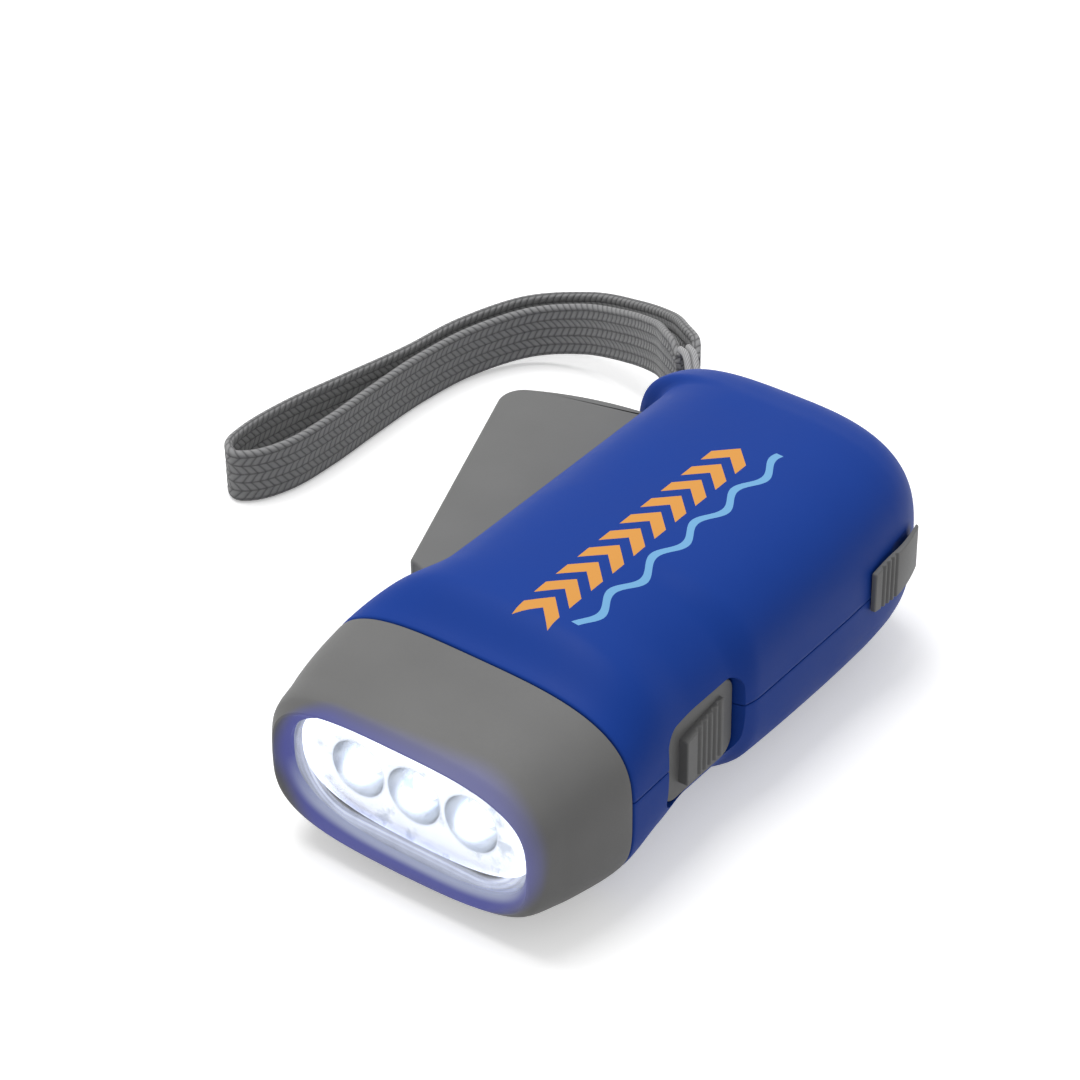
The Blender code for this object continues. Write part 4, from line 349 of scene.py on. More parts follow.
def tube_rings(points, radius, count):
    """Circles of one radius across a route, each turned from a level side vector and its upright."""
    way = unit(np.gradient(points, axis=0))
    side = unit(np.cross(way, np.array([0.0, 0.0, 1.0])))
    up = np.cross(side, way)
    turn = round_turn(count)[None, :, None]
    return points[:, None] + radius * (np.cos(turn) * side[:, None] + np.sin(turn) * up[:, None])


def twisted_finish():
    """Fine yarns that wind round the cord: a wave along a slant of the map, with painted shade between the
    yarns.
    """
    yarn = Finish("twisted_cord", (0.45, 0.45, 0.46), 0.5, {"Sheen Weight": 0.3})
    along, across, _ = parts(yarn.map)
    wave = ridges(across * 1.6 + along, CORD_YARN)
    # Painted shade: the dark colour falls between the yarns, where the wave is low.
    yarn.set({"Base Color": blend(wave, (0.20, 0.20, 0.205), (0.46, 0.46, 0.465))})
    return yarn.raised(wave, 0.5, 0.12 * MM)


cord_points, cord_length = smooth_route(CORD_ROUTE, CORD_STEPS)
cord_girth = np.linspace(0, 2 * math.pi * CORD_RADIUS, CORD_SIDES + 1)
cord_map = np.stack(np.meshgrid(np.linspace(0, cord_length, CORD_STEPS), cord_girth, indexing="ij"), axis=-1)
cord_grid = tube_rings(cord_points, CORD_RADIUS, CORD_SIDES)
strap_cord_tube = grid_piece("strap_cord_tube", cord_grid, uv=cord_map, angle=60)
coat(strap_cord_tube, twisted_finish())
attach(strap_cord_tube, "body")
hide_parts("strap_cord")

# Table and light. A white table that keeps only a soft shadow, an even white room, and one large soft
# lamp high above the left side of the flashlight.
ROOM_LEVEL = 0.5
KEY_POWER = 9.8
KEY_SIZE = 0.75
KEY_PLACE = Vector((-0.34, 0.02, 1.27))
TABLE_REACH = 3.0
TABLE_SEEN = 1.0
TABLE_BOUNCE = 0.5
TABLE_GLOW = 0.38


def seen_rays(tree):
    """One for the rays by which a white surround is seen, mirrored or looked at through glass, else zero."""
    rays = tree.nodes.new("ShaderNodeLightPath").outputs
    kinds = ("Camera", "Glossy", "Transmission")
    camera, glossy, through = (Figure(rays[f"Is {kind} Ray"]) for kind in kinds)
    return reckon("MINIMUM", camera + glossy + through, 1.0)


def table_finish():
    """White and faintly lit by itself where it is seen, and a calmer grey where it lights the body."""
    matt = {"Specular IOR Level": 0.0, "Emission Color": (1.0,) * 4}
    white = Finish("white_table", (TABLE_BOUNCE,) * 3, 0.9, matt)
    seen = seen_rays(white.material.node_tree)
    paint = blend(seen, (TABLE_BOUNCE,) * 3, (TABLE_SEEN,) * 3)
    return white.set({"Base Color": paint, "Emission Strength": seen * TABLE_GLOW})


def light_room():
    """A white world that is seen brighter than it lights, and a square lamp turned to the middle."""
    room = bpy.data.worlds.new("white_room")
    room.use_nodes = True
    bpy.context.scene.world = room
    level = seen_rays(room.node_tree) * (1 - ROOM_LEVEL) + ROOM_LEVEL
    feed(room.node_tree.nodes["Background"], {"Color": (1.0,) * 4, "Strength": level})
    lamp = bpy.data.lights.new("soft_box", "AREA")
    lamp.energy = KEY_POWER
    lamp.size = KEY_SIZE
    held = bpy.data.objects.new("soft_box", lamp)
    bpy.context.scene.collection.objects.link(held)
    held.location = KEY_PLACE
    held.rotation_euler = (-KEY_PLACE).to_track_quat("-Z", "Y").to_euler()


table_grid = TABLE_REACH * np.array([[[-1.0, -1, 0], [1, -1, 0]], [[-1, 1, 0], [1, 1, 0]]])
table = grid_piece("table", table_grid, round_section=False, caps=False)
coat(table, table_finish())
light_room()
bpy.context.scene.view_settings.view_transform = "Standard"

# Body shells. Two halves of hard plastic under a blue soft-touch coat, split at mid-height and screwed
# together from below, with a slot for the lever on the left and a pocket for the switch on the right.
BODY_LENGTH = 106 * MM
HALF_WIDTH = 29.3 * MM
BODY_HEIGHT = 38.6 * MM
WALL = 2.2 * MM
GAP = 0.3 * MM
SEAM_GAP = 0.2 * MM
UNDERSIDE_CUT = 0.15 * MM
MID_Z = BODY_HEIGHT / 2
HEAD_Y = -BODY_LENGTH / 2
TAIL_Y = BODY_LENGTH / 2
SEAM_Y = HEAD_Y + 19.5 * MM
SPIGOT_Y = SEAM_Y - 5.2 * MM
SKIRT = 1.2 * MM
SPIGOT_WALL = 1.5 * MM
SEAM_EDGE = 0.45 * MM
PARTING_EDGE = 0.14 * MM
TAIL_ROUND = 12 * MM
UNIT_SQUARE = 3.2
UNIT_HEIGHT = 0.66
HULL_SHARES = np.array(
    (
        (0.000, 0.785, 0.800, 0.712, 0.128, 3.3, 3.3),
        (0.019, 0.836, 0.857, 0.754, 0.084, 3.3, 3.3),
        (0.101, 0.935, 0.942, 0.829, 0.034, 3.3, 3.3),
        (0.184, 0.977, 0.977, 0.868, 0.013, 3.3, 3.3),
        (0.272, 0.970, 0.850, 0.990, 0.004, 2.9, 3.2),
        (0.347, 0.960, 0.748, 1.000, 0.000, 2.5, 3.2),
        (0.430, 0.960, 0.744, 1.000, 0.000, 2.5, 3.2),
        (0.485, 0.998, 0.744, 1.000, 0.000, 3.0, 3.2),
        (0.692, 1.000, 0.744, 1.000, 0.000, 3.2, 3.2),
        (0.792, 0.992, 0.744, 1.000, 0.000, 3.2, 3.2),
        (0.868, 0.968, 0.746, 0.999, 0.001, 3.2, 3.2),
        (0.892, 0.952, 0.756, 0.997, 0.003, 3.2, 3.2),
        (0.914, 0.932, 0.906, 0.988, 0.010, 3.2, 3.2),
        (0.953, 0.867, 0.888, 0.961, 0.039, 3.1, 3.1),
        (0.989, 0.676, 0.730, 0.870, 0.130, 3.0, 3.0),
        (1.000, 0.522, 0.590, 0.767, 0.233, 3.0, 3.0),
    )
)


def monotone(knots, values, at):
    """A smooth curve through the knots that doesn't overshoot, by cubic Hermite pieces."""
    steps = np.diff(knots)
    slopes = np.diff(values) / steps
    same = slopes[:-1] * slopes[1:] > 0
    before, after = 2 * steps[1:] + steps[:-1], steps[1:] + 2 * steps[:-1]
    left, right = np.where(same, slopes[:-1], 1), np.where(same, slopes[1:], 1)
    inner = np.where(same, (before + after) / (before / left + after / right), 0)
    tangents = np.concatenate([[slopes[0]], inner, [slopes[-1]]])
    i = np.clip(np.searchsorted(knots, at, side="right") - 1, 0, len(steps) - 1)
    t = (at - knots[i]) / steps[i]
    return (
        (1 + 2 * t) * (1 - t) ** 2 * values[i]
        + t * (1 - t) ** 2 * steps[i] * tangents[i]
        + t * t * (3 - 2 * t) * values[i + 1]
        + t * t * (t - 1) * steps[i] * tangents[i + 1]
    )


def hull_sizes(y, inset):
    """The body's section at each y: reach right and left, middle, half height and both squarenesses.

    Each is a smooth curve through its column of the table. The reaches are shares of the half width, the
    top and underside are shares of the height, and all four are drawn in by the inset.
    """
    share = np.clip((y - HEAD_Y) / BODY_LENGTH, 0, 1)
    places, *columns = HULL_SHARES.T
    right, left, top, low, square_right, square_left = (monotone(places, column, share) for column in columns)
    right, left = right * HALF_WIDTH - inset, left * HALF_WIDTH - inset
    top, low = top * BODY_HEIGHT - inset, low * BODY_HEIGHT - UNDERSIDE_CUT + inset
    return right, left, (top + low) / 2, (top - low) / 2, square_right, square_left


def squared(wave, square):
    """A sine or cosine raised to two over the squareness, with its sign kept."""
    return np.sign(wave) * np.abs(wave) ** (2 / square)


def as_points(x, y, z):
    """A grid of points from their three parts, each of which may be the same along a row or column."""
    return np.stack(np.broadcast_arrays(x, y, z), axis=-1)


def hull_points(y, turns, inset):
    """The body's skin: at each y, a super-ellipse in the plane across, at the given turns.

    A coordinate is the cosine or sine, raised to two over the squareness, times the reach.
    """
    y, inset = np.asarray(y, float), np.broadcast_to(inset, np.shape(y))
    right, left, middle, half, square_right, square_left = (v[:, None] for v in hull_sizes(y, inset))
    on_right = np.cos(turns) > 0
    square = np.where(on_right, square_right, square_left)
    x = squared(np.cos(turns), square) * np.where(on_right, right, left)
    z = middle + squared(np.sin(turns), square) * half
    return as_points(x, y[:, None], np.maximum(z, inset[:, None]))


def even_turns(start, end, count):
    """Turns that spread points evenly along a unit section, from start to end of each row."""
    fine = np.linspace(-math.pi, 2.5 * math.pi, 7001)
    section = (squared(np.cos(fine), UNIT_SQUARE), UNIT_HEIGHT * squared(np.sin(fine), UNIT_SQUARE))
    reach = reach_along(np.stack(section, axis=1))
    low, high = np.interp(start, fine, reach), np.interp(end, fine, reach)
    at = low[:, None] + (high - low)[:, None] * np.linspace(0, 1, count)[None, :]
    return np.interp(at, reach, fine)


def whole_turn(count):
    """Turns right round the unit section, evenly spread along it."""
    return even_turns(np.zeros(1), np.full(1, 2 * math.pi), count + 1)[:, :-1]


def quarter(count):
    """The turns of a quarter round."""
    return np.linspace(0, math.pi / 2, count)


def stations():
    """Places along the shells, close together at the seam and the tail, and how far each is drawn in."""
    front = SEAM_Y + GAP / 2
    body = np.linspace(front + 1.2 * MM, TAIL_Y - TAIL_ROUND, 96)
    tail = TAIL_Y - TAIL_ROUND * (1 - np.sin(quarter(40)[1:]))
    y = np.array([SPIGOT_Y, front, *(front + SEAM_EDGE * (1 - np.cos(quarter(5)))), *body, *tail])
    inset = np.zeros(len(y))
    inset[:2] = SKIRT + GAP
    inset[2:7] = SEAM_EDGE * (1 - np.sin(quarter(5)))
    return y, inset


def half_skin(name, upper):
    """One half of the skin as a solid: an arch over the parting, whose lower edge is slightly rounded.

    Its tail is closed by three shrinking rings in one plane.
    """
    y, inset = stations()
    side = 1 if upper else -1
    _, _, middle, half, square_right, square_left = hull_sizes(y, inset)
    rise = (MID_Z + side * (SEAM_GAP / 2 + PARTING_EDGE) - middle) / half

    def turn_at(square):
        return np.sign(rise) * np.arcsin(np.minimum(np.abs(rise) ** (square / 2), 1))

    start, end = turn_at(square_right), math.pi - turn_at(square_left)
    if not upper:
        start, end = end, 2 * math.pi + start
    arch = hull_points(y, even_turns(start, end, 150), inset)
    if not upper:
        arch = arch[:, ::-1]

    def rim(end_points, across, down):
        return end_points + PARTING_EDGE * np.array([across, 0, -side * down])

    first, last = arch[:, :1], arch[:, -1:]
    rims = rim(first, -1, 1), rim(first, -0.3, 0.7), arch, rim(last, 0.3, 0.7), rim(last, 1, 1)
    ring = np.concatenate(rims, axis=1)
    tail_middle = ring[-1].mean(0)
    smaller = [tail_middle + (ring[-1] - tail_middle) * share for share in (0.8, 0.5, 0.2)]
    ring = np.concatenate([ring, smaller])
    ring[-3:, :, 1] = TAIL_Y
    return grid_piece(name, ring, angle=50)


def room_inside():
    """The room inside both halves: the skin drawn in by the wall, with a step for the spigot."""
    front = [SPIGOT_Y - 5 * MM, SEAM_Y + WALL]
    body = np.linspace(SEAM_Y + WALL + 1.5 * MM, TAIL_Y - 9 * MM, 22)
    y = np.concatenate([front, body, TAIL_Y - MM * np.array([6.5, 4.5, 3.2, 2.4])])
    inset = np.full(len(y), WALL)
    inset[:2] = SKIRT + GAP + SPIGOT_WALL
    late = np.clip((y - 26 * MM) / (20 * MM), 0, 1)
    points = hull_points(np.minimum(y + WALL * late, TAIL_Y), whole_turn(72), inset)
    points[:, :, 1] = y[:, None]
    return grid_piece("room_inside", points)


def box_shape(name, low, high):
    """A plain box, given in millimetres, as a grid of two rings: a cutter, or a part out of sight."""
    x, y = np.array((low[0], high[0], high[0], low[0])), np.array((low[1], low[1], high[1], high[1]))
    return grid_piece(name, MM * as_points(x, y, np.array([[low[2]], [high[2]]])))


def rounded_outline(width, height, corner):
    """A rectangle with round corners about the origin: four quarter circles joined by straight sides."""
    turn = quarter(12)[None, :] + math.pi / 2 * np.arange(4)[:, None]
    middles = np.array(((1, 1), (-1, 1), (-1, -1), (1, -1))) * (width / 2 - corner, height / 2 - corner)
    return (corner * np.stack([np.cos(turn), np.sin(turn)], axis=-1) + middles[:, None]).reshape(-1, 2)


def switch_pocket():
    """A round-cornered outline carried outwards, whose rear side leans back by the square of the rise."""
    along, up = rounded_outline(POCKET_REAR_Y - POCKET_LIP_Y, POCKET_HEIGHT, POCKET_CORNER).T
    rearward = np.clip(along / along.max(), 0, 1) ** 2
    rise = np.linspace(0, 1, 8)[:, None]
    x = SWITCH_FLOOR_X + rise * (HALF_WIDTH + 1 * MM - SWITCH_FLOOR_X)
    y = along + (POCKET_LIP_Y + POCKET_REAR_Y) / 2 + POCKET_FLARE * rise**2 * rearward
    return grid_piece("switch_pocket", as_points(x, y, up + SWITCH_Z))


def upright_rod(name, centre, radius, low, high):
    """A round bar, turned a little so that no edge of it lies in another shape's faces."""
    turn = round_turn(40) + 0.03
    x, y = centre[0] + radius * np.cos(turn), centre[1] + radius * np.sin(turn)
    return grid_piece(name, as_points(x, y, np.array([[low], [high]])))


def carve(piece, *cutters, keep=(), angle=35):
    """Cuts shapes out of a piece for good. The shapes go too, but for those to keep."""
    for cutter in cutters:
        change = piece.modifiers.new(cutter.name, "BOOLEAN")
        change.object = cutter
        change.solver = "EXACT"
    result = bpy.data.meshes.new_from_object(piece.evaluated_get(bpy.context.evaluated_depsgraph_get()))
    piece.modifiers.clear()
    piece.data = result
    result.shade_smooth()
    result.set_sharp_from_angle(angle=math.radians(angle))
    for cutter in cutters:
        if cutter not in keep:
            bpy.data.objects.remove(cutter, do_unlink=True)
    return piece


SHELL_BOXES = {
    "switch_pad": ((23.9, -29.2, 7.1), (34.3, -3.2, 29.3)),
    "lever_slot": ((-34.3, -18.3, 10.7), (-14.4, 42.9, 27.9)),
    "switch_track": ((25.7, -27, 10.6), (27.2, -11.3, 25.8)),
    "switch_window": ((19, -18.1, 16.1), (30, -10.9, 20.3)),
    "lock_window": ((20, 31.3, 17.6), (34, 39.4, 21.6)),
    "strap_slot": ((-24, 43.8, 15.6), (-12.4, 58, 23.2)),
}
SWITCH_Z = 18.2 * MM
SWITCH_FLOOR_X = 25.7 * MM
SWITCH_FACE_X = 26.9 * MM
POCKET_LIP_Y = -24.2 * MM
POCKET_REAR_Y = -5.3 * MM
POCKET_HEIGHT = 15.4 * MM
POCKET_CORNER = 3.0 * MM
POCKET_FLARE = 1.6 * MM
LOCK_Z = 20.8 * MM
LOCK_RECESS = MM * np.array(
    ((30.6, 29.3), (33, 29), (35, 28.7), (37, 28.33), (39.4, 27.7), (44.6, 27.7), (44.6, 34), (30.6, 34))
)
LOCK_RECESS_HALF = 4.6 * MM
SCREW_PLACES = {
    "screw_tail_left": (-6 * MM, 47.4 * MM, 4.8 * MM),
    "screw_tail_right": (17 * MM, 44.4 * MM, 4.8 * MM),
    "screw_head_left": (-14 * MM, -27 * MM, 4.2 * MM),
    "screw_head_right": (20.2 * MM, -27 * MM, 6.4 * MM),
}
SCREW_BOSS = 3.2 * MM
SCREW_HEAD_HOLE = 2.6 * MM
SCREW_HEAD_TALL = 1.9 * MM
SCREW_HOLE = 1.3 * MM
SCREW_HOLE_TOP = 29.3 * MM
PAST_LOW = -5 * MM
PAST_HIGH = 45 * MM


def shell_cutters():
    """The room with its bosses and its switch pad left standing, and every opening through the wall."""
    room = room_inside()
    pad, lever_slot, track, *windows = (box_shape(name, *corners) for name, corners in SHELL_BOXES.items())
    bosses = [
        upright_rod(f"{name}_boss", place[:2], SCREW_BOSS, PAST_LOW, PAST_HIGH)
        for name, place in SCREW_PLACES.items()
    ]
    carve(room, pad, *bosses)
    recess_z = LOCK_Z + LOCK_RECESS_HALF * np.array([[-1], [1]])
    recess = grid_piece("lock_recess", as_points(LOCK_RECESS[:, 1], LOCK_RECESS[:, 0], recess_z))
    cutters = [lever_slot, switch_pocket(), track, windows[0], recess, *windows[1:], room]
    for name, (x, y, head) in SCREW_PLACES.items():
        top = head + SCREW_HEAD_TALL
        cutters.append(upright_rod(f"{name}_head_hole", (x, y), SCREW_HEAD_HOLE, PAST_LOW, top))
        cutters.append(upright_rod(f"{name}_hole", (x, y), SCREW_HOLE, head, SCREW_HOLE_TOP))
    return cutters


PRINT_START_Y = -23 * MM
PRINT_END_Y = 31 * MM
CHEVRON_X = 4.4 * MM
CHEVRON_HALF = 3.3 * MM
CHEVRON_PITCH = 5.4 * MM
CHEVRON_SHARE = 0.55
WAVE_X = 11.0 * MM
WAVE_SWING = 1.0 * MM
WAVE_LENGTH = 10.8 * MM
WAVE_HALF = 0.65 * MM
PRINT_ORANGE = (0.78, 0.36, 0.085)
PRINT_PALE_BLUE = (0.20, 0.46, 0.76)


def within(value, low, high):
    """One where a value lies between two bounds, nought elsewhere."""
    return (value > low) * (value < high)


def top_print(place):
    """Where the top is printed: a row of chevrons, and beside it a wavy line.

    A chevron is where the place along, moved by the distance from the row's middle, has passed less than
    a share of its pitch. The line is where the place across is near a sine of the place along.
    """
    across, along, up = parts(place)
    on_top = up > MID_Z + 8 * MM
    off = abs(across - CHEVRON_X)
    leaning = along + off
    passed = reckon("FRACT", (leaning - PRINT_START_Y) / CHEVRON_PITCH)
    chevrons = (passed < CHEVRON_SHARE) * (off < CHEVRON_HALF) * within(leaning, PRINT_START_Y, PRINT_END_Y)
    from_wave = across - WAVE_X - reckon("SINE", along * (2 * math.pi / WAVE_LENGTH)) * WAVE_SWING
    wave = within(from_wave, -WAVE_HALF, WAVE_HALF) * within(along, PRINT_START_Y, PRINT_END_Y)
    return chevrons * on_top, wave * on_top


def soft_touch_finish():
    """A rubbery paint: even blue, fine grain, faint clouds where hands polished it, and the top's print."""
    rubber = Finish("blue_soft_touch", (0.0085, 0.050, 0.311), 0.5, {"Specular IOR Level": 0.11})
    clouds = noise(rubber.place, 55.0, 4.0, 0.6)
    paint = blend(clouds, (0.0070, 0.0455, 0.292), (0.0100, 0.0545, 0.330))
    for mask, ink in zip(top_print(rubber.place), (PRINT_ORANGE, PRINT_PALE_BLUE)):
        paint = blend(mask, paint, ink)
    rubber.set({"Base Color": paint, "Roughness": ramp(clouds, 0.3, 0.7, 0.46, 0.56)})
    return rubber.raised(noise(rubber.place, 3800.0, 2.0), 0.12, 0.05 * MM)


blue_soft_touch = soft_touch_finish()
cutters = shell_cutters()
for shell_name, is_upper in (("upper_shell", True), ("lower_shell", False)):
    skin = carve(half_skin(f"{shell_name}_coat", is_upper), *cutters, keep=cutters)
    coat(skin, blue_soft_touch)
    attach(skin, "body")
    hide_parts(shell_name)
for cutter in cutters:
    bpy.data.objects.remove(cutter, do_unlink=True)

# Head bezel. A grey moulded ring pushed over the shells' spigot. Its nose is rounded, and a funnel
# inside it leads down to the clear window.
MOUTH = (22.3 * MM, 10.7 * MM, 16.7 * MM)
MOUTH_SQUARE = 2.75
NOSE_FULL = 0.8 * MM
NOSE_FULL_DEPTH = 7 * MM
NOSE_SLANT = 0.5 * MM
BEZEL_GREY = (0.158, 0.158, 0.156)
LENS_FRONT_Y = HEAD_Y + 2.8 * MM
LENS_THICKNESS = 1.5 * MM
LENS_OVERLAP = 0.85 * MM
MOUTH_Y = LENS_FRONT_Y - 0.8 * MM
NOSE_ROUND = 4 * MM
BEZEL_EDGE = 0.4 * MM
BEZEL_INSIDE = MM * np.array((7.4, 10.6, 13.2))
LIP_DRAWN = 0.35 * MM
FUNNEL_EASE = 1.25


def opening_points(opening, y, turns, grow=0.0):
    """Rings of a super-ellipse at each y. The opening is its half width, half height and middle height."""
    half_width, half_height, middle = opening
    y, grow = np.asarray(y, float)[:, None], np.broadcast_to(grow, np.shape(y))[:, None]
    x = squared(np.cos(turns), MOUTH_SQUARE) * (half_width + grow)
    return as_points(x, y, middle + squared(np.sin(turns), MOUTH_SQUARE) * (half_height + grow))


def fuller_nose(rings):
    """The nose swells towards its front: wider at both sides, higher on top, where it also leans back.

    The swelling is a smooth step of the place along, from nought behind to one at the front.
    """
    near = eased((HEAD_Y + NOSE_FULL_DEPTH - rings[..., 1]) / NOSE_FULL_DEPTH)
    upper = np.clip((rings[..., 2] - MOUTH[2]) / MOUTH[1], 0, 1)
    right = np.clip(rings[..., 0] / MOUTH[0], 0, 1)
    grown = rings.copy()
    grown[..., 0] *= 1 + NOSE_FULL / MOUTH[0] * near
    grown[..., 2] += NOSE_FULL * near * upper
    grown[..., 1] += NOSE_SLANT * near**3 * np.maximum(upper, right)
    return grown


def bezel_rings():
    """Round the ring's section: the skin to the nose, round the lip, down the funnel, and back inside."""
    turns = whole_turn(180)
    back = SEAM_Y - GAP / 2
    edge = BEZEL_EDGE * (1 - np.sin(quarter(5)[:-1]))
    run = np.linspace(back - BEZEL_EDGE * 1.4, HEAD_Y + NOSE_ROUND, 30)
    nose = HEAD_Y + NOSE_ROUND * (1 - np.sin(quarter(26)[1:]))
    y = np.concatenate([back - edge, run, nose])
    inset = np.zeros(len(y))
    inset[:4] = BEZEL_EDGE * (1 - np.cos(quarter(5)[:0:-1]))
    lip = fuller_nose(hull_points([HEAD_Y], turns, LIP_DRAWN))
    share = np.linspace(0, 1, 12)[1:, None, None]
    shares = np.concatenate([share, 1 - (1 - share) ** FUNNEL_EASE, share], axis=2)
    rear = LENS_FRONT_Y + LENS_THICKNESS + GAP
    inner_y = [*(HEAD_Y + BEZEL_INSIDE), SPIGOT_Y - GAP]
    return np.concatenate(
        [
            fuller_nose(hull_points(y, turns, inset)),
            lip,
            lip + (opening_points(MOUTH, [MOUTH_Y], turns) - lip) * shares,
            opening_points(MOUTH, [LENS_FRONT_Y, LENS_FRONT_Y, rear], turns, [0, 1 * MM, 1 * MM]),
            hull_points(inner_y, turns, WALL),
            hull_points([SPIGOT_Y - GAP, back], turns, SKIRT),
        ]
    )


def grey_plastic_finish(name, colour, rough, grain_size):
    """Spark-eroded grey plastic: fine pits, slight mottling, and slightly shinier high spots."""
    plastic = Finish(name, colour, rough, {"Specular IOR Level": 0.35})
    pits = noise(plastic.place, 1 / grain_size, 3.0, 0.6)
    dark, light = (tuple(share * part for part in colour) for share in (0.88, 1.1))
    plastic.paint = blend(noise(plastic.place, 70.0), dark, light)
    plastic.set({"Base Color": plastic.paint, "Roughness": ramp(pits, 0, 1, rough - 0.07, rough + 0.09)})
    return plastic.raised(pits, 0.18, 0.06 * MM)


def from_window(across, up):
    """How far a point lies outside the window, seen along the body: a stadium's distance."""
    past_side = reckon("MAXIMUM", abs(across) - (MOUTH[0] - MOUTH[1]), 0.0)
    return reckon("SQRT", past_side**2.0 + abs(up - MOUTH[2]) ** 2.0) - MOUTH[1]


# Painted light and shade on the bezel's lip: the reach and colours of a painted violet glow, its painted
# shade, and a nearly white painted glow below the window.
HALO_REACH = 2.4 * MM
HALO_PAINTED_SHADE = (0.078, 0.082, 0.125)
HALO_LIGHT = (0.029, 0.034, 0.205)
SPILL_REACH = 2.3 * MM
SPILL_DEPTH = 1.0 * MM
SPILL_LIGHT = (0.27, 0.30, 0.41)


def bezel_finish():
    """The grey plastic, with a painted violet glow near the window, a nearly white painted glow below it, and
    painted shade.

    The painted glow stands for the lamps' cold light. The violet falls by a smooth step of the distance from
    the window, to which the way back from its mouth is added. Its reach grows upwards and to the right in a
    straight line, where the lip faces the light; elsewhere the lip is painted darker, as shade. The white
    fades forward along the lower lip.
    """
    bezel = grey_plastic_finish("grey_bezel_plastic", BEZEL_GREY, 0.55, 0.45 * MM)
    across, along, up = parts(bezel.place)
    away, above = from_window(across, up), up - MOUTH[2]
    along_skin = reckon("MAXIMUM", along - MOUTH_Y, 0.0) * 0.6 + away
    lean = above * 0.12 + across * 0.08
    reach = reckon("MAXIMUM", lean, 0.0) + HALO_REACH
    halo = ramp(along_skin / reach, 0.2, 1.0, 1.0, 0.0, "SMOOTHSTEP")
    shaded = halo * ramp(lean, 0, 2 * MM, 1.0, 0.0)
    spill = ramp(away, 0, SPILL_REACH, 1.0, 0.0, "SMOOTHSTEP")
    spill = spill * ramp(along, MOUTH_Y - SPILL_DEPTH, MOUTH_Y + 0.1 * MM, kind="SMOOTHSTEP")
    spill = spill * ramp(above, -0.1 * MOUTH[1], -0.8 * MOUTH[1])
    # Painted light: the lamps' glow on the lip is emission. Painted shade: near the window, where the lip
    # faces away from the light, its grey is darkened.
    light = blend(spill, blend(halo, (0.0, 0.0, 0.0), HALO_LIGHT), SPILL_LIGHT)
    shadow = blend(shaded, bezel.paint, HALO_PAINTED_SHADE)
    return bezel.set({"Base Color": shadow, "Emission Color": light, "Emission Strength": 1.0})


head_bezel_ring = grid_piece("head_bezel_ring", bezel_rings(), joined_ends=True, caps=False, angle=40)
coat(head_bezel_ring, bezel_finish())
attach(head_bezel_ring, "body")
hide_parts("head_bezel")

# Window. A clear polystyrene plate clipped behind the bezel's ledge, with a polished round edge on which
# the lamps' light is painted as a glow.
WINDOW_RIM = 0.25 * MM
WINDOW_BAND = 0.9 * MM


def window_plate():
    """The window's outline carried through the plate's thickness, with rounded rims and filled faces."""
    front, rear, rim = LENS_FRONT_Y + 0.15 * MM, LENS_FRONT_Y + LENS_THICKNESS, WINDOW_RIM
    y = [front, front, front + rim, rear - rim, rear, rear]
    grow = LENS_OVERLAP - np.array([3 * MM, rim, 0, 0, rim, 3 * MM])
    return grid_piece("window_plate", opening_points(MOUTH, y, whole_turn(144), grow), angle=50)


def clear_finish():
    """Clear plastic with barely visible moulding ripples, whose rim has a painted glow in bands, like a light
    pipe.
    """
    clear = Finish("clear_polystyrene", (0.96, 0.975, 1.0), 0.03, {"Transmission Weight": 1.0, "IOR": 1.45})
    across, _, up = parts(clear.place)
    away = from_window(across, up)
    bands = (ridges(away, WINDOW_BAND) * 0.35 + 0.55) * ramp(away, -2.4 * MM, 0.2 * MM, 1.0, 0.45)
    flecks = ramp(noise(clear.place, 420.0), 0, 1, 0.6, 1.2)
    # Painted light: the rim's glow is emission that stands for the lamps' light in the plate's edge.
    glow = ramp(away, -3.0 * MM, -2.2 * MM, kind="SMOOTHSTEP") * bands * flecks * 0.6
    clear.set({"Emission Color": (0.74, 0.80, 1.0, 1.0), "Emission Strength": glow})
    return clear.raised(noise(clear.place, 130.0, 2.0), 0.05, 0.1 * MM)


window = window_plate()
coat(window, clear_finish())
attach(window, "body")
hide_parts("lens")

# Reflector. One moulded block, vacuum metallised, with three round cups in a row, each narrowing like a
# bowl to the lamp in its middle.
CUPS = (21.4 * MM, 9.2 * MM, 17.3 * MM)
LAMP_Z = CUPS[2]
LAMP_PITCH = 10.7 * MM
CUP_MOUTH = 4.9 * MM
CUP_THROAT = 2.9 * MM
REFLECTOR_FRONT_Y = LENS_FRONT_Y + LENS_THICKNESS + GAP
REFLECTOR_DEPTH = 5.6 * MM
CUP_BACK_WALL = 1.2 * MM


def forward_turned(name, x, radii, places, count=64):
    """A turned shape on an axis along the body: circles of the given radii at the given places."""
    radii, places = np.asarray(radii)[:, None], np.asarray(places)[:, None]
    x, z = x + radii * np.cos(round_turn(count)), LAMP_Z + radii * np.sin(round_turn(count))
    return grid_piece(name, as_points(x, places, z), angle=40)


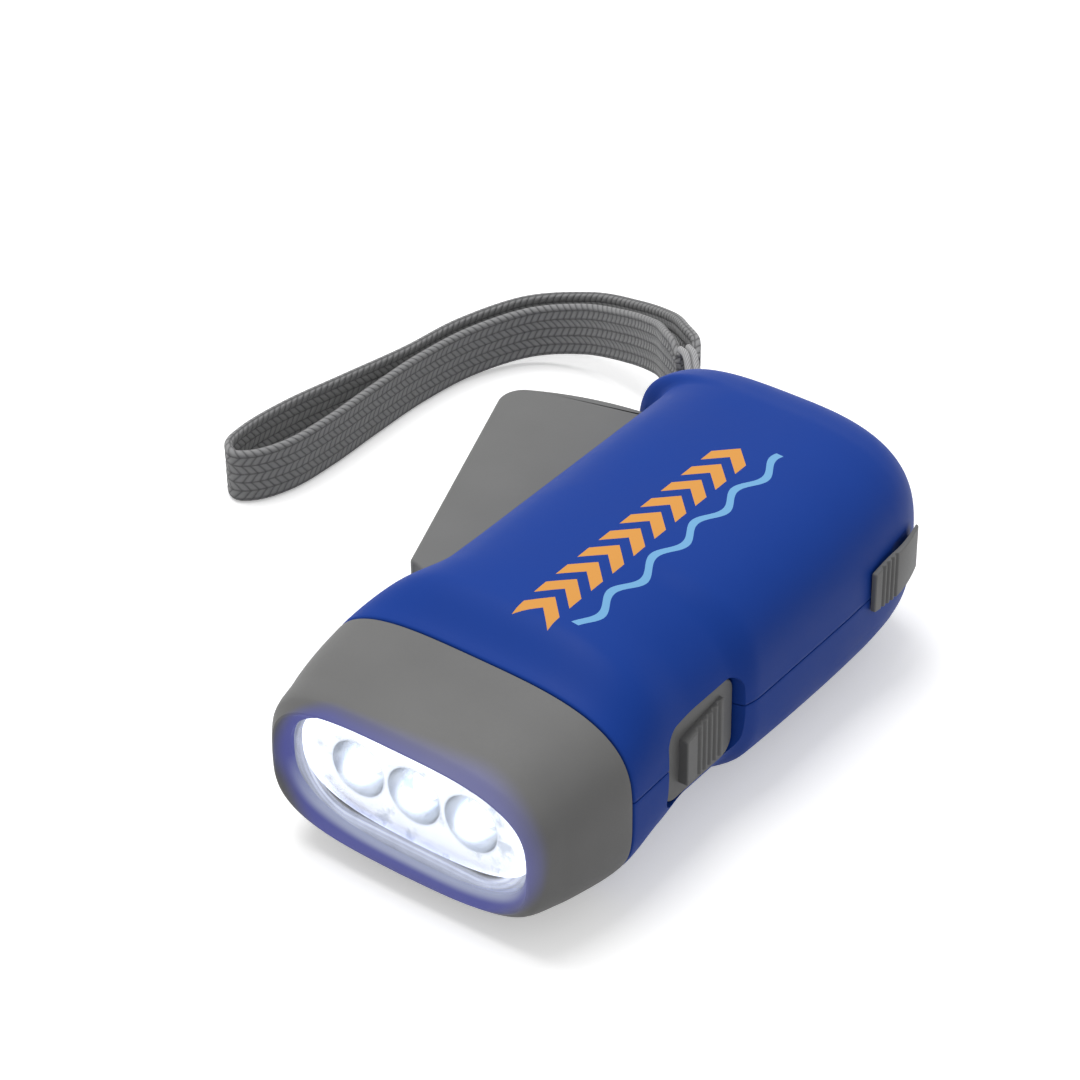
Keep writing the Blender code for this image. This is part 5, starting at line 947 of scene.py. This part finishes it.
def reflector_block():
    """A rounded block, less three bowls whose radius falls by the root of the depth that is left."""
    back = REFLECTOR_FRONT_Y + REFLECTOR_DEPTH
    sides = opening_points(CUPS, [REFLECTOR_FRONT_Y, back], whole_turn(120), [0, -0.5 * MM])
    depth = np.linspace(0, 1, 14)
    radii = [CUP_MOUTH, *(CUP_THROAT + (CUP_MOUTH - CUP_THROAT) * np.sqrt(1 - depth)), CUP_THROAT]
    bowl = REFLECTOR_FRONT_Y + depth * (REFLECTOR_DEPTH - CUP_BACK_WALL)
    places = [REFLECTOR_FRONT_Y - 5 * MM, *bowl, back + 5 * MM]
    bowls = [forward_turned(f"cup_{k}", (k - 1) * LAMP_PITCH, radii, places) for k in range(3)]
    return carve(grid_piece("reflector_cups", sides), *bowls, angle=30)


def from_lamps(place):
    """How far a point is from the nearest lamp's axis, seen along the body."""
    across, _, up = parts(place)
    middle, up = abs(across), up - LAMP_Z
    nearest = reckon("MINIMUM", middle, abs(middle - LAMP_PITCH))
    return reckon("SQRT", nearest * nearest + up * up)


def metallised_finish():
    """Bright metal film, slightly wavy, with a greyer line round each cup, greyer patches between, and a
    faint painted glow.

    The lines are bell curves of the distance from the nearest lamp's axis.
    """
    metal = Finish("vacuum_metallised", (0.90, 0.91, 0.94), 0.2, {"Metallic": 1.0})
    waves = noise(metal.place, 320.0, 2.0)
    off = (from_lamps(metal.place) - CUP_MOUTH) / (0.28 * MM)
    line = reckon("POWER", 0.37, off * off) * 0.5
    patches = ramp(noise(metal.place, 230.0, 3.0, 0.6), 0.56, 0.68) * 0.7
    paint = blend(reckon("MAXIMUM", line, patches), (0.90, 0.92, 0.94), (0.42, 0.47, 0.56))
    metal.set({"Base Color": paint, "Roughness": ramp(waves, 0, 1, 0.14, 0.32)})
    # Painted light: a faint emission that stands for the lamps' light in the metal.
    metal.set({"Emission Color": (0.93, 0.96, 1.0, 1.0), "Emission Strength": 0.02})
    return metal.raised(waves, 0.12, 0.12 * MM)


cups = reflector_block()
coat(cups, metallised_finish())
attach(cups, "body")
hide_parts("reflector")

# Lamps. Three five-millimetre light-emitting diodes in clear epoxy, lit cold white, soldered to a board
# behind the reflector.
LAMP_RADIUS = 2.5 * MM
LAMP_FOOT_Y = REFLECTOR_FRONT_Y + REFLECTOR_DEPTH + GAP
LAMP_FOOT = 1.0 * MM
LAMP_FOOT_RADIUS = 2.9 * MM
LAMP_NOSE_Y = LAMP_FOOT_Y + LAMP_FOOT - 5.6 * MM


def lamp_shape(name, index):
    """A dome as a quarter circle turned about the lamp's axis, a straight barrel and a wider flange."""
    rise = np.linspace(0.04, math.pi / 2, 14)
    radii = [*(LAMP_RADIUS * np.sin(rise)), LAMP_RADIUS, LAMP_FOOT_RADIUS, LAMP_FOOT_RADIUS]
    dome = LAMP_NOSE_Y + LAMP_RADIUS * (1 - np.cos(rise))
    places = [*dome, LAMP_FOOT_Y, LAMP_FOOT_Y, LAMP_FOOT_Y + LAMP_FOOT]
    return forward_turned(name, (index - 1) * LAMP_PITCH, radii, places, 48)


def lit_epoxy_finish():
    """Clear epoxy full of light: brightest in the middle of the dome, slightly bluer at its rim."""
    epoxy = Finish("lit_epoxy", (0.95, 0.97, 1.0), 0.08, {"Emission Strength": 1.8})
    glow = blend(from_lamps(epoxy.place) / LAMP_RADIUS, (1.0, 1.0, 1.0), (0.62, 0.74, 1.0))
    return epoxy.set({"Base Color": glow, "Emission Color": glow})


lit_epoxy = lit_epoxy_finish()
for lamp_index, lamp_name in enumerate(("led_left", "led_middle", "led_right")):
    lamp = lamp_shape(f"{lamp_name}_dome", lamp_index)
    coat(lamp, lit_epoxy)
    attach(lamp, "body")
    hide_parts(lamp_name)

# Squeeze lever. A hollow grey moulding of two plates and an outer wall, hinged on a steel pin in the
# head end and pushed out by a spring, shown as it stands when it is let go.
PIVOT = np.array([-18 * MM, -14 * MM])
LEVER_OPEN = math.radians(21)
LEVER_FACE_X = -28.2 * MM
LEVER_FRONT_Y = -10.6 * MM
LEVER_SWEEP = 56.4 * MM
LEVER_CORNER = 4.5 * MM
LEVER_HUB = 3.4 * MM
LEVER_LOW_Z = 11.1 * MM
LEVER_HIGH_Z = 27.5 * MM
LEVER_PLATE = 1.8 * MM
LEVER_EDGE = 0.7 * MM
LEVER_RIM = 1.2 * MM
LEVER_HOLLOW = 2.5 * MM
LEVER_BORE = 1.75 * MM


def arc(centre, radius, start, end, count):
    """Points of a circle in plan, by the turn from +Y towards +X."""
    turn = np.radians(np.linspace(start, end, count))
    return np.stack([centre[0] + radius * np.sin(turn), centre[1] + radius * np.cos(turn)], axis=1)


def lever_plan(inset, hollow=False):
    """The closed lever in plan: hub, front corner, straight grip, tail corner, end swept about the pin."""
    face, sweep, corner = LEVER_FACE_X + inset, LEVER_SWEEP - inset, LEVER_CORNER - inset
    across = face + corner - PIVOT[0]
    centre = np.array([face + corner, PIVOT[1] + math.sqrt((sweep - corner) ** 2 - across**2)])
    turn = math.degrees(math.atan2(centre[0] - PIVOT[0], centre[1] - PIVOT[1]))
    outline = [arc(centre, corner, -90, turn, 20), arc(PIVOT, sweep, turn, 20, 50)[1:]]
    if hollow:
        outline.append(arc(PIVOT, sweep, 40, 41, 2))
        outline.append(PIVOT + np.array([[6 * MM, 4 * MM], [6 * MM, 0], [0, LEVER_HUB]]))
        outline.append(np.array([[face, LEVER_FRONT_Y + LEVER_PLATE]]))
    else:
        nose = (face + LEVER_RIM, LEVER_FRONT_Y + LEVER_RIM)
        outline += [arc(PIVOT, LEVER_HUB, 110, 225, 16), arc(nose, LEVER_RIM, -170, -90, 10)]
    return np.concatenate(outline)


def opened(points):
    """The plan turned back about the pin, from squeezed shut to let go."""
    c, s = math.cos(LEVER_OPEN), math.sin(LEVER_OPEN)
    return PIVOT + (points - PIVOT) @ np.array([[c, s], [-s, c]])


def even_outline(points, spacing):
    """The same closed outline with points at an even spacing along its straight runs."""
    closed = np.vstack([points, points[:1]])
    reach = reach_along(closed)
    extra = [
        np.arange(spacing, run - spacing / 2, spacing) + start
        for run, start in zip(np.diff(reach), reach)
        if run > 2 * spacing
    ]
    at = np.sort(np.concatenate([reach[:-1], *extra]))
    return np.stack([np.interp(at, reach, part) for part in closed.T], axis=1)


def rounded_slab(name, outline, low, high, edge, order=(0, 1, 2)):
    """An outline carried from low to high, whose two rims are quarter rounds.

    Along a quarter round the outline is drawn in by edge times one minus the sine. The drawing in is
    along each point's own normal. The order says which of the outline's two parts and the height
    becomes x, y and z.
    """
    before, after = np.roll(outline, 1, axis=0), np.roll(outline, -1, axis=0)
    normal = unit(np.stack([(after - before)[:, 1], -(after - before)[:, 0]], axis=1))
    normal *= np.sign((outline[:, 0] * after[:, 1] - outline[:, 1] * after[:, 0]).sum())
    inset, rise = edge * (1 - np.sin(quarter(6))), edge * (1 - np.cos(quarter(6)))
    inset = np.concatenate([inset, inset[::-1]])[:, None]
    height = np.concatenate([low + rise, high - rise[::-1]])[:, None]
    first, second = (outline[:, k] - normal[:, k] * inset for k in range(2))
    return grid_piece(name, as_points(first, second, height)[..., order], angle=40)


def lever_shape():
    """A rounded slab of the lever's plan, less the same drawn in by its wall, less a bore for the pin."""
    outside, inside = even_outline(lever_plan(0.0), 1.2 * MM), lever_plan(LEVER_PLATE, True)
    low, high = LEVER_LOW_Z + LEVER_PLATE, LEVER_HIGH_Z - LEVER_PLATE
    hollow = rounded_slab("lever_hollow", opened(inside), low, high, 0.01 * MM)
    carve(hollow, upright_rod("lever_hub_core", PIVOT, LEVER_HOLLOW, PAST_LOW, PAST_HIGH))
    body = rounded_slab("lever_grip", opened(outside), LEVER_LOW_Z, LEVER_HIGH_Z, LEVER_EDGE)
    return carve(body, hollow, upright_rod("lever_bore", PIVOT, LEVER_BORE, PAST_LOW, PAST_HIGH))


lever_grip = lever_shape()
coat(lever_grip, grey_plastic_finish("grey_lever_plastic", (0.160, 0.161, 0.159), 0.5, 0.45 * MM))
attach(lever_grip, "lever")
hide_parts("squeeze_lever")

# Power slider. A grey moulded plate that runs in a pocket of the right side, its front under the
# pocket's lip, with a wedge for the thumb and five grooves across it. It slides forward to switch.
PLATE_FRONT_Y = -23.4 * MM
PLATE_REAR_Y = -5.6 * MM
PLATE_HEIGHT = 14.8 * MM
WEDGE_FRONT_Y = -19.6 * MM
WEDGE_REAR_Y = -8.9 * MM
WEDGE_RISE = 1.7 * MM
WEDGE_TAIL_RISE = 0.8 * MM
WEDGE_LOW = (13.4 * MM, 12.3 * MM)
WEDGE_HIGH = (21.7 * MM, 23.3 * MM)
WEDGE_GROOVES = 5
WEDGE_PITCH = 1.5 * MM
WEDGE_GROOVE = 0.5 * MM
THUMB_EDGE = 0.28 * MM
PLATE_EDGE = 0.3 * MM
WEDGE_FIRST_GROOVE = 0.9
WEDGE_GROOVE_HALF = 0.40 * MM
POWER_STEM = ((21.5, -14.8, 16.4), (26.2, -11.2, 20))


def grooved_block(name, y, face, floor, low, high):
    """A block along the body: at each y a section from floor to face and from low to high, with round rims.

    The two outer corners of a section are quarter circles. At both ends the sections shrink, also along
    a quarter circle, so the rims are round all the way about.
    """
    edge = THUMB_EDGE
    reach = np.clip(np.minimum(y - y[0], y[-1] - y) / edge, 0, 1)
    drawn = edge * (1 - np.sqrt(1 - (1 - reach) ** 2))
    face, floor, low, high = (v[:, None] for v in (face - drawn, floor, low + drawn, high - drawn))
    by_sine, by_cosine = edge * (1 - np.sin(quarter(6))), edge * (1 - np.cos(quarter(6)))
    x = np.concatenate([floor, face - by_sine, face - by_cosine, floor], axis=1)
    z = np.concatenate([low, low + by_cosine, high - by_sine, high], axis=1)
    return grid_piece(name, as_points(x, y[:, None], z), angle=38)


def thumb_stations(front, rear, count):
    """Places from front to rear, close together at both round rims."""
    rim = THUMB_EDGE * (1 - np.cos(quarter(6)[:-1]))
    run = np.linspace(front + THUMB_EDGE, rear - THUMB_EDGE, count)
    return np.concatenate([front + rim, run, rear - rim[::-1]])


def dips(y, middles, half_width):
    """Grooves across: at each middle one over e to the cube of the distance, in half widths."""
    away = np.abs(y[:, None] - middles[None, :]) / half_width
    return np.exp(-(away**3)).sum(1)


def wedge_shape():
    """The wedge: a face that falls evenly to the rear, a height that grows evenly, and five dips."""
    y = thumb_stations(WEDGE_FRONT_Y, WEDGE_REAR_Y, 150)
    share = (y - WEDGE_FRONT_Y) / (WEDGE_REAR_Y - WEDGE_FRONT_Y)
    middles = WEDGE_REAR_Y - (np.arange(WEDGE_GROOVES) + WEDGE_FIRST_GROOVE) * WEDGE_PITCH
    face = SWITCH_FACE_X + WEDGE_RISE + (WEDGE_TAIL_RISE - WEDGE_RISE) * share
    face = face - WEDGE_GROOVE * dips(y, middles, WEDGE_GROOVE_HALF)
    low, high = (ends[0] + (ends[1] - ends[0]) * share for ends in (WEDGE_LOW, WEDGE_HIGH))
    return grooved_block("power_slider_wedge", y, face, np.full(len(y), SWITCH_FACE_X - 0.5 * MM), low, high)


plate_outline = rounded_outline(PLATE_REAR_Y - PLATE_FRONT_Y, PLATE_HEIGHT, POCKET_CORNER)
plate_outline += ((PLATE_FRONT_Y + PLATE_REAR_Y) / 2, SWITCH_Z)
power_plate = rounded_slab(
    "power_slider_plate", plate_outline, SWITCH_FLOOR_X + GAP, SWITCH_FACE_X, PLATE_EDGE, order=(2, 0, 1)
)
power_wedge = wedge_shape()
power_stem = box_shape("power_slider_stem", *POWER_STEM)
switch_plastic = grey_plastic_finish("switch_plastic", (0.152, 0.152, 0.150), 0.5, 0.4 * MM)
for piece in (power_plate, power_wedge, power_stem):
    coat(piece, switch_plastic)
    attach(piece, "power_switch")
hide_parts("power_slider")

# Lever lock. A small grey slider near the tail with four ribs and a thin wing that bends in with the
# body. It moves forward to lock the lever shut by a finger that reaches in behind the rack's peg.
LOCK_FACE_X = 30.2 * MM
LOCK_FRONT_Y = 29.3 * MM
LOCK_REAR_Y = 44.4 * MM
LOCK_RIBBED = 6.5 * MM
LOCK_WING_DROP = 1.75 * MM
LOCK_RIBS = 4
LOCK_RIB = 0.42 * MM
LOCK_PITCH = 1.25 * MM
LOCK_FIRST_DIP = 0.4
LOCK_DIP_HALF = 0.33 * MM
LOCK_BEND = 1.7
LOCK_BED = 0.05 * MM
LOCK_BED_DROP = 1.4 * MM
LOCK_HALVES = ((3.7, 0.7, 0.3), (3.6, 0.7, 0.2))
LOCK_STEM = ((24.6, 36.6, 17.9), (28.9, 39.1, 21.3))


def lock_shape():
    """The lock: four ribs with bell-shaped dips after them, then a wing that falls ever faster.

    The fall is a power of the way along the wing. The height grows by a sine to the ribs' end and
    shrinks a little to the wing's end.
    """
    y = thumb_stations(LOCK_FRONT_Y, LOCK_REAR_Y, 170)
    ribbed = LOCK_FRONT_Y + LOCK_RIBBED
    tail = np.clip((y - ribbed) / (LOCK_REAR_Y - ribbed), 0, 1)
    middles = ribbed - (np.arange(LOCK_RIBS) + LOCK_FIRST_DIP) * LOCK_PITCH
    bend = tail**LOCK_BEND
    face = LOCK_FACE_X - LOCK_WING_DROP * bend - LOCK_RIB * dips(y, middles, LOCK_DIP_HALF)
    floor = HALF_WIDTH + LOCK_BED - LOCK_BED_DROP * bend
    grown = np.sin(np.clip((y - LOCK_FRONT_Y) / LOCK_RIBBED, 0, 1) * math.pi / 2)
    down, up = ((start + more * grown - less * tail) * MM for start, more, less in LOCK_HALVES)
    return grooved_block("lock_slider_button", y, face, floor, LOCK_Z - down, LOCK_Z + up)


lock_button = lock_shape()
lock_stem = box_shape("lock_slider_stem", *LOCK_STEM)
for piece in (lock_button, lock_stem):
    coat(piece, switch_plastic)
    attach(piece, "lever_lock")
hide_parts("lock_slider")

# Steel parts. Turned pins and axles pressed into the shells, self-tapping screws, the wire return spring,
# the coin cell in its bright can, and the bent contact strip.
STEEL_NODES = (
    "lever_pivot_pin", "drive_gear_axle", "idler_gear_axle", "rotor_axle", "strap_post",
    "return_spring", "screw_head_left", "screw_head_right", "screw_tail_left", "screw_tail_right",
    "battery_cell", "battery_clip",
)


def dress(names, finish):
    """Gives CAD pieces their finish."""
    for name in names:
        coat(nodes[name], finish)


def steel_finish():
    """Drawn and turned steel: fine rings along the height and small changes of polish."""
    steel = Finish("turned_steel", (0.56, 0.56, 0.58), 0.28, {"Metallic": 1.0})
    stretched = worked("ShaderNodeMapping", {"Vector": steel.place, "Scale": (300.0, 300.0, 6000.0)})
    rings = noise(stretched, 1.0, 2.0)
    paint = blend(rings, (0.47, 0.47, 0.49), (0.62, 0.62, 0.64))
    steel.set({"Base Color": paint, "Roughness": ramp(rings, 0, 1, 0.2, 0.38)})
    return steel.raised(rings, 0.1, 0.03 * MM)


dress(STEEL_NODES, steel_finish())

# Gear train. White nylon mouldings: the toothed rack in the lever, two compound gears, the rotor's pinion
# with its two pawls, and the coil's bobbin.


def nylon_finish():
    """Milky nylon: faint flow lines and a waxy surface."""
    nylon = Finish("white_nylon", (0.74, 0.73, 0.69), 0.42)
    flow = noise(nylon.place, 160.0, 4.0, 0.55)
    nylon.set({"Base Color": blend(flow, (0.68, 0.665, 0.62), (0.79, 0.785, 0.75))})
    return nylon.raised(noise(nylon.place, 1500.0), 0.08, 0.04 * MM)


dress(("gear_rack", "drive_gear", "idler_gear", "rotor_pinion", "coil_bobbin"), nylon_finish())

# Dynamo. A dark moulded flywheel with a ferrite ring magnet on its hub, turning between the shoes of a
# laminated iron core that carries one coil of enamelled wire.


def ferrite_finish():
    """Sintered ferrite: dark and gritty."""
    ferrite = Finish("ferrite", (0.055, 0.055, 0.060), 0.6)
    grit = noise(ferrite.place, 2600.0, 3.0, 0.7)
    ferrite.set({"Base Color": blend(grit, (0.035, 0.035, 0.040), (0.085, 0.085, 0.090))})
    return ferrite.raised(grit, 0.25, 0.05 * MM)


def layered_finish(name, low_colour, high_colour, pitch, axis, rough):
    """Even layers or turns of metal across one axis: a sine of the place, dark between them.

    Between the iron's sheets the dark is a joint; between the wire's turns it is painted shade.
    """
    layers = Finish(name, high_colour, rough, {"Metallic": 1.0})
    wave = ridges(parts(layers.place)[axis], pitch) ** 0.5
    return layers.set({"Base Color": blend(wave, low_colour, high_colour)}).raised(wave, 0.5, 0.1 * MM)


dress(("rotor_magnet",), ferrite_finish())
for node_name, *look in (
    ("stator_core", "laminated_iron", (0.12, 0.11, 0.10), (0.34, 0.33, 0.32), 0.5 * MM, 2, 0.5),
    ("coil_winding", "enamelled_copper", (0.16, 0.045, 0.02), (0.50, 0.17, 0.07), 0.25 * MM, 0, 0.32),
):
    dress((node_name,), layered_finish(*look))
dress(("flywheel", "slide_switch"), grey_plastic_finish("dark_plastic", (0.035, 0.035, 0.038), 0.5, 0.4 * MM))

# Circuit boards. Green glass-epoxy: a small one behind the lamps and one over the coil with its chip and
# capacitor.
BOARD_GREENS = {
    "Color1": (0.012, 0.13, 0.05, 1), "Color2": (0.02, 0.19, 0.075, 1), "Mortar": (0.008, 0.08, 0.03, 1),
}


def board_finish():
    """Green solder mask over copper tracks: blocks of a coarse square pattern, slightly raised."""
    board = Finish("green_board", (0.015, 0.16, 0.06), 0.35)
    feeds = {"Vector": board.place, "Scale": 420.0, "Mortar Size": 0.08, **BOARD_GREENS}
    squares = worked("ShaderNodeTexBrick", feeds, "Color")
    tracks = Figure(squares.socket.node.outputs["Fac"])
    weave = noise(board.place, 900.0, 2.0) * 0.3 + tracks
    return board.set({"Base Color": squares}).raised(weave, 0.2, 0.05 * MM)


dress(("led_board", "circuit_board"), board_finish())
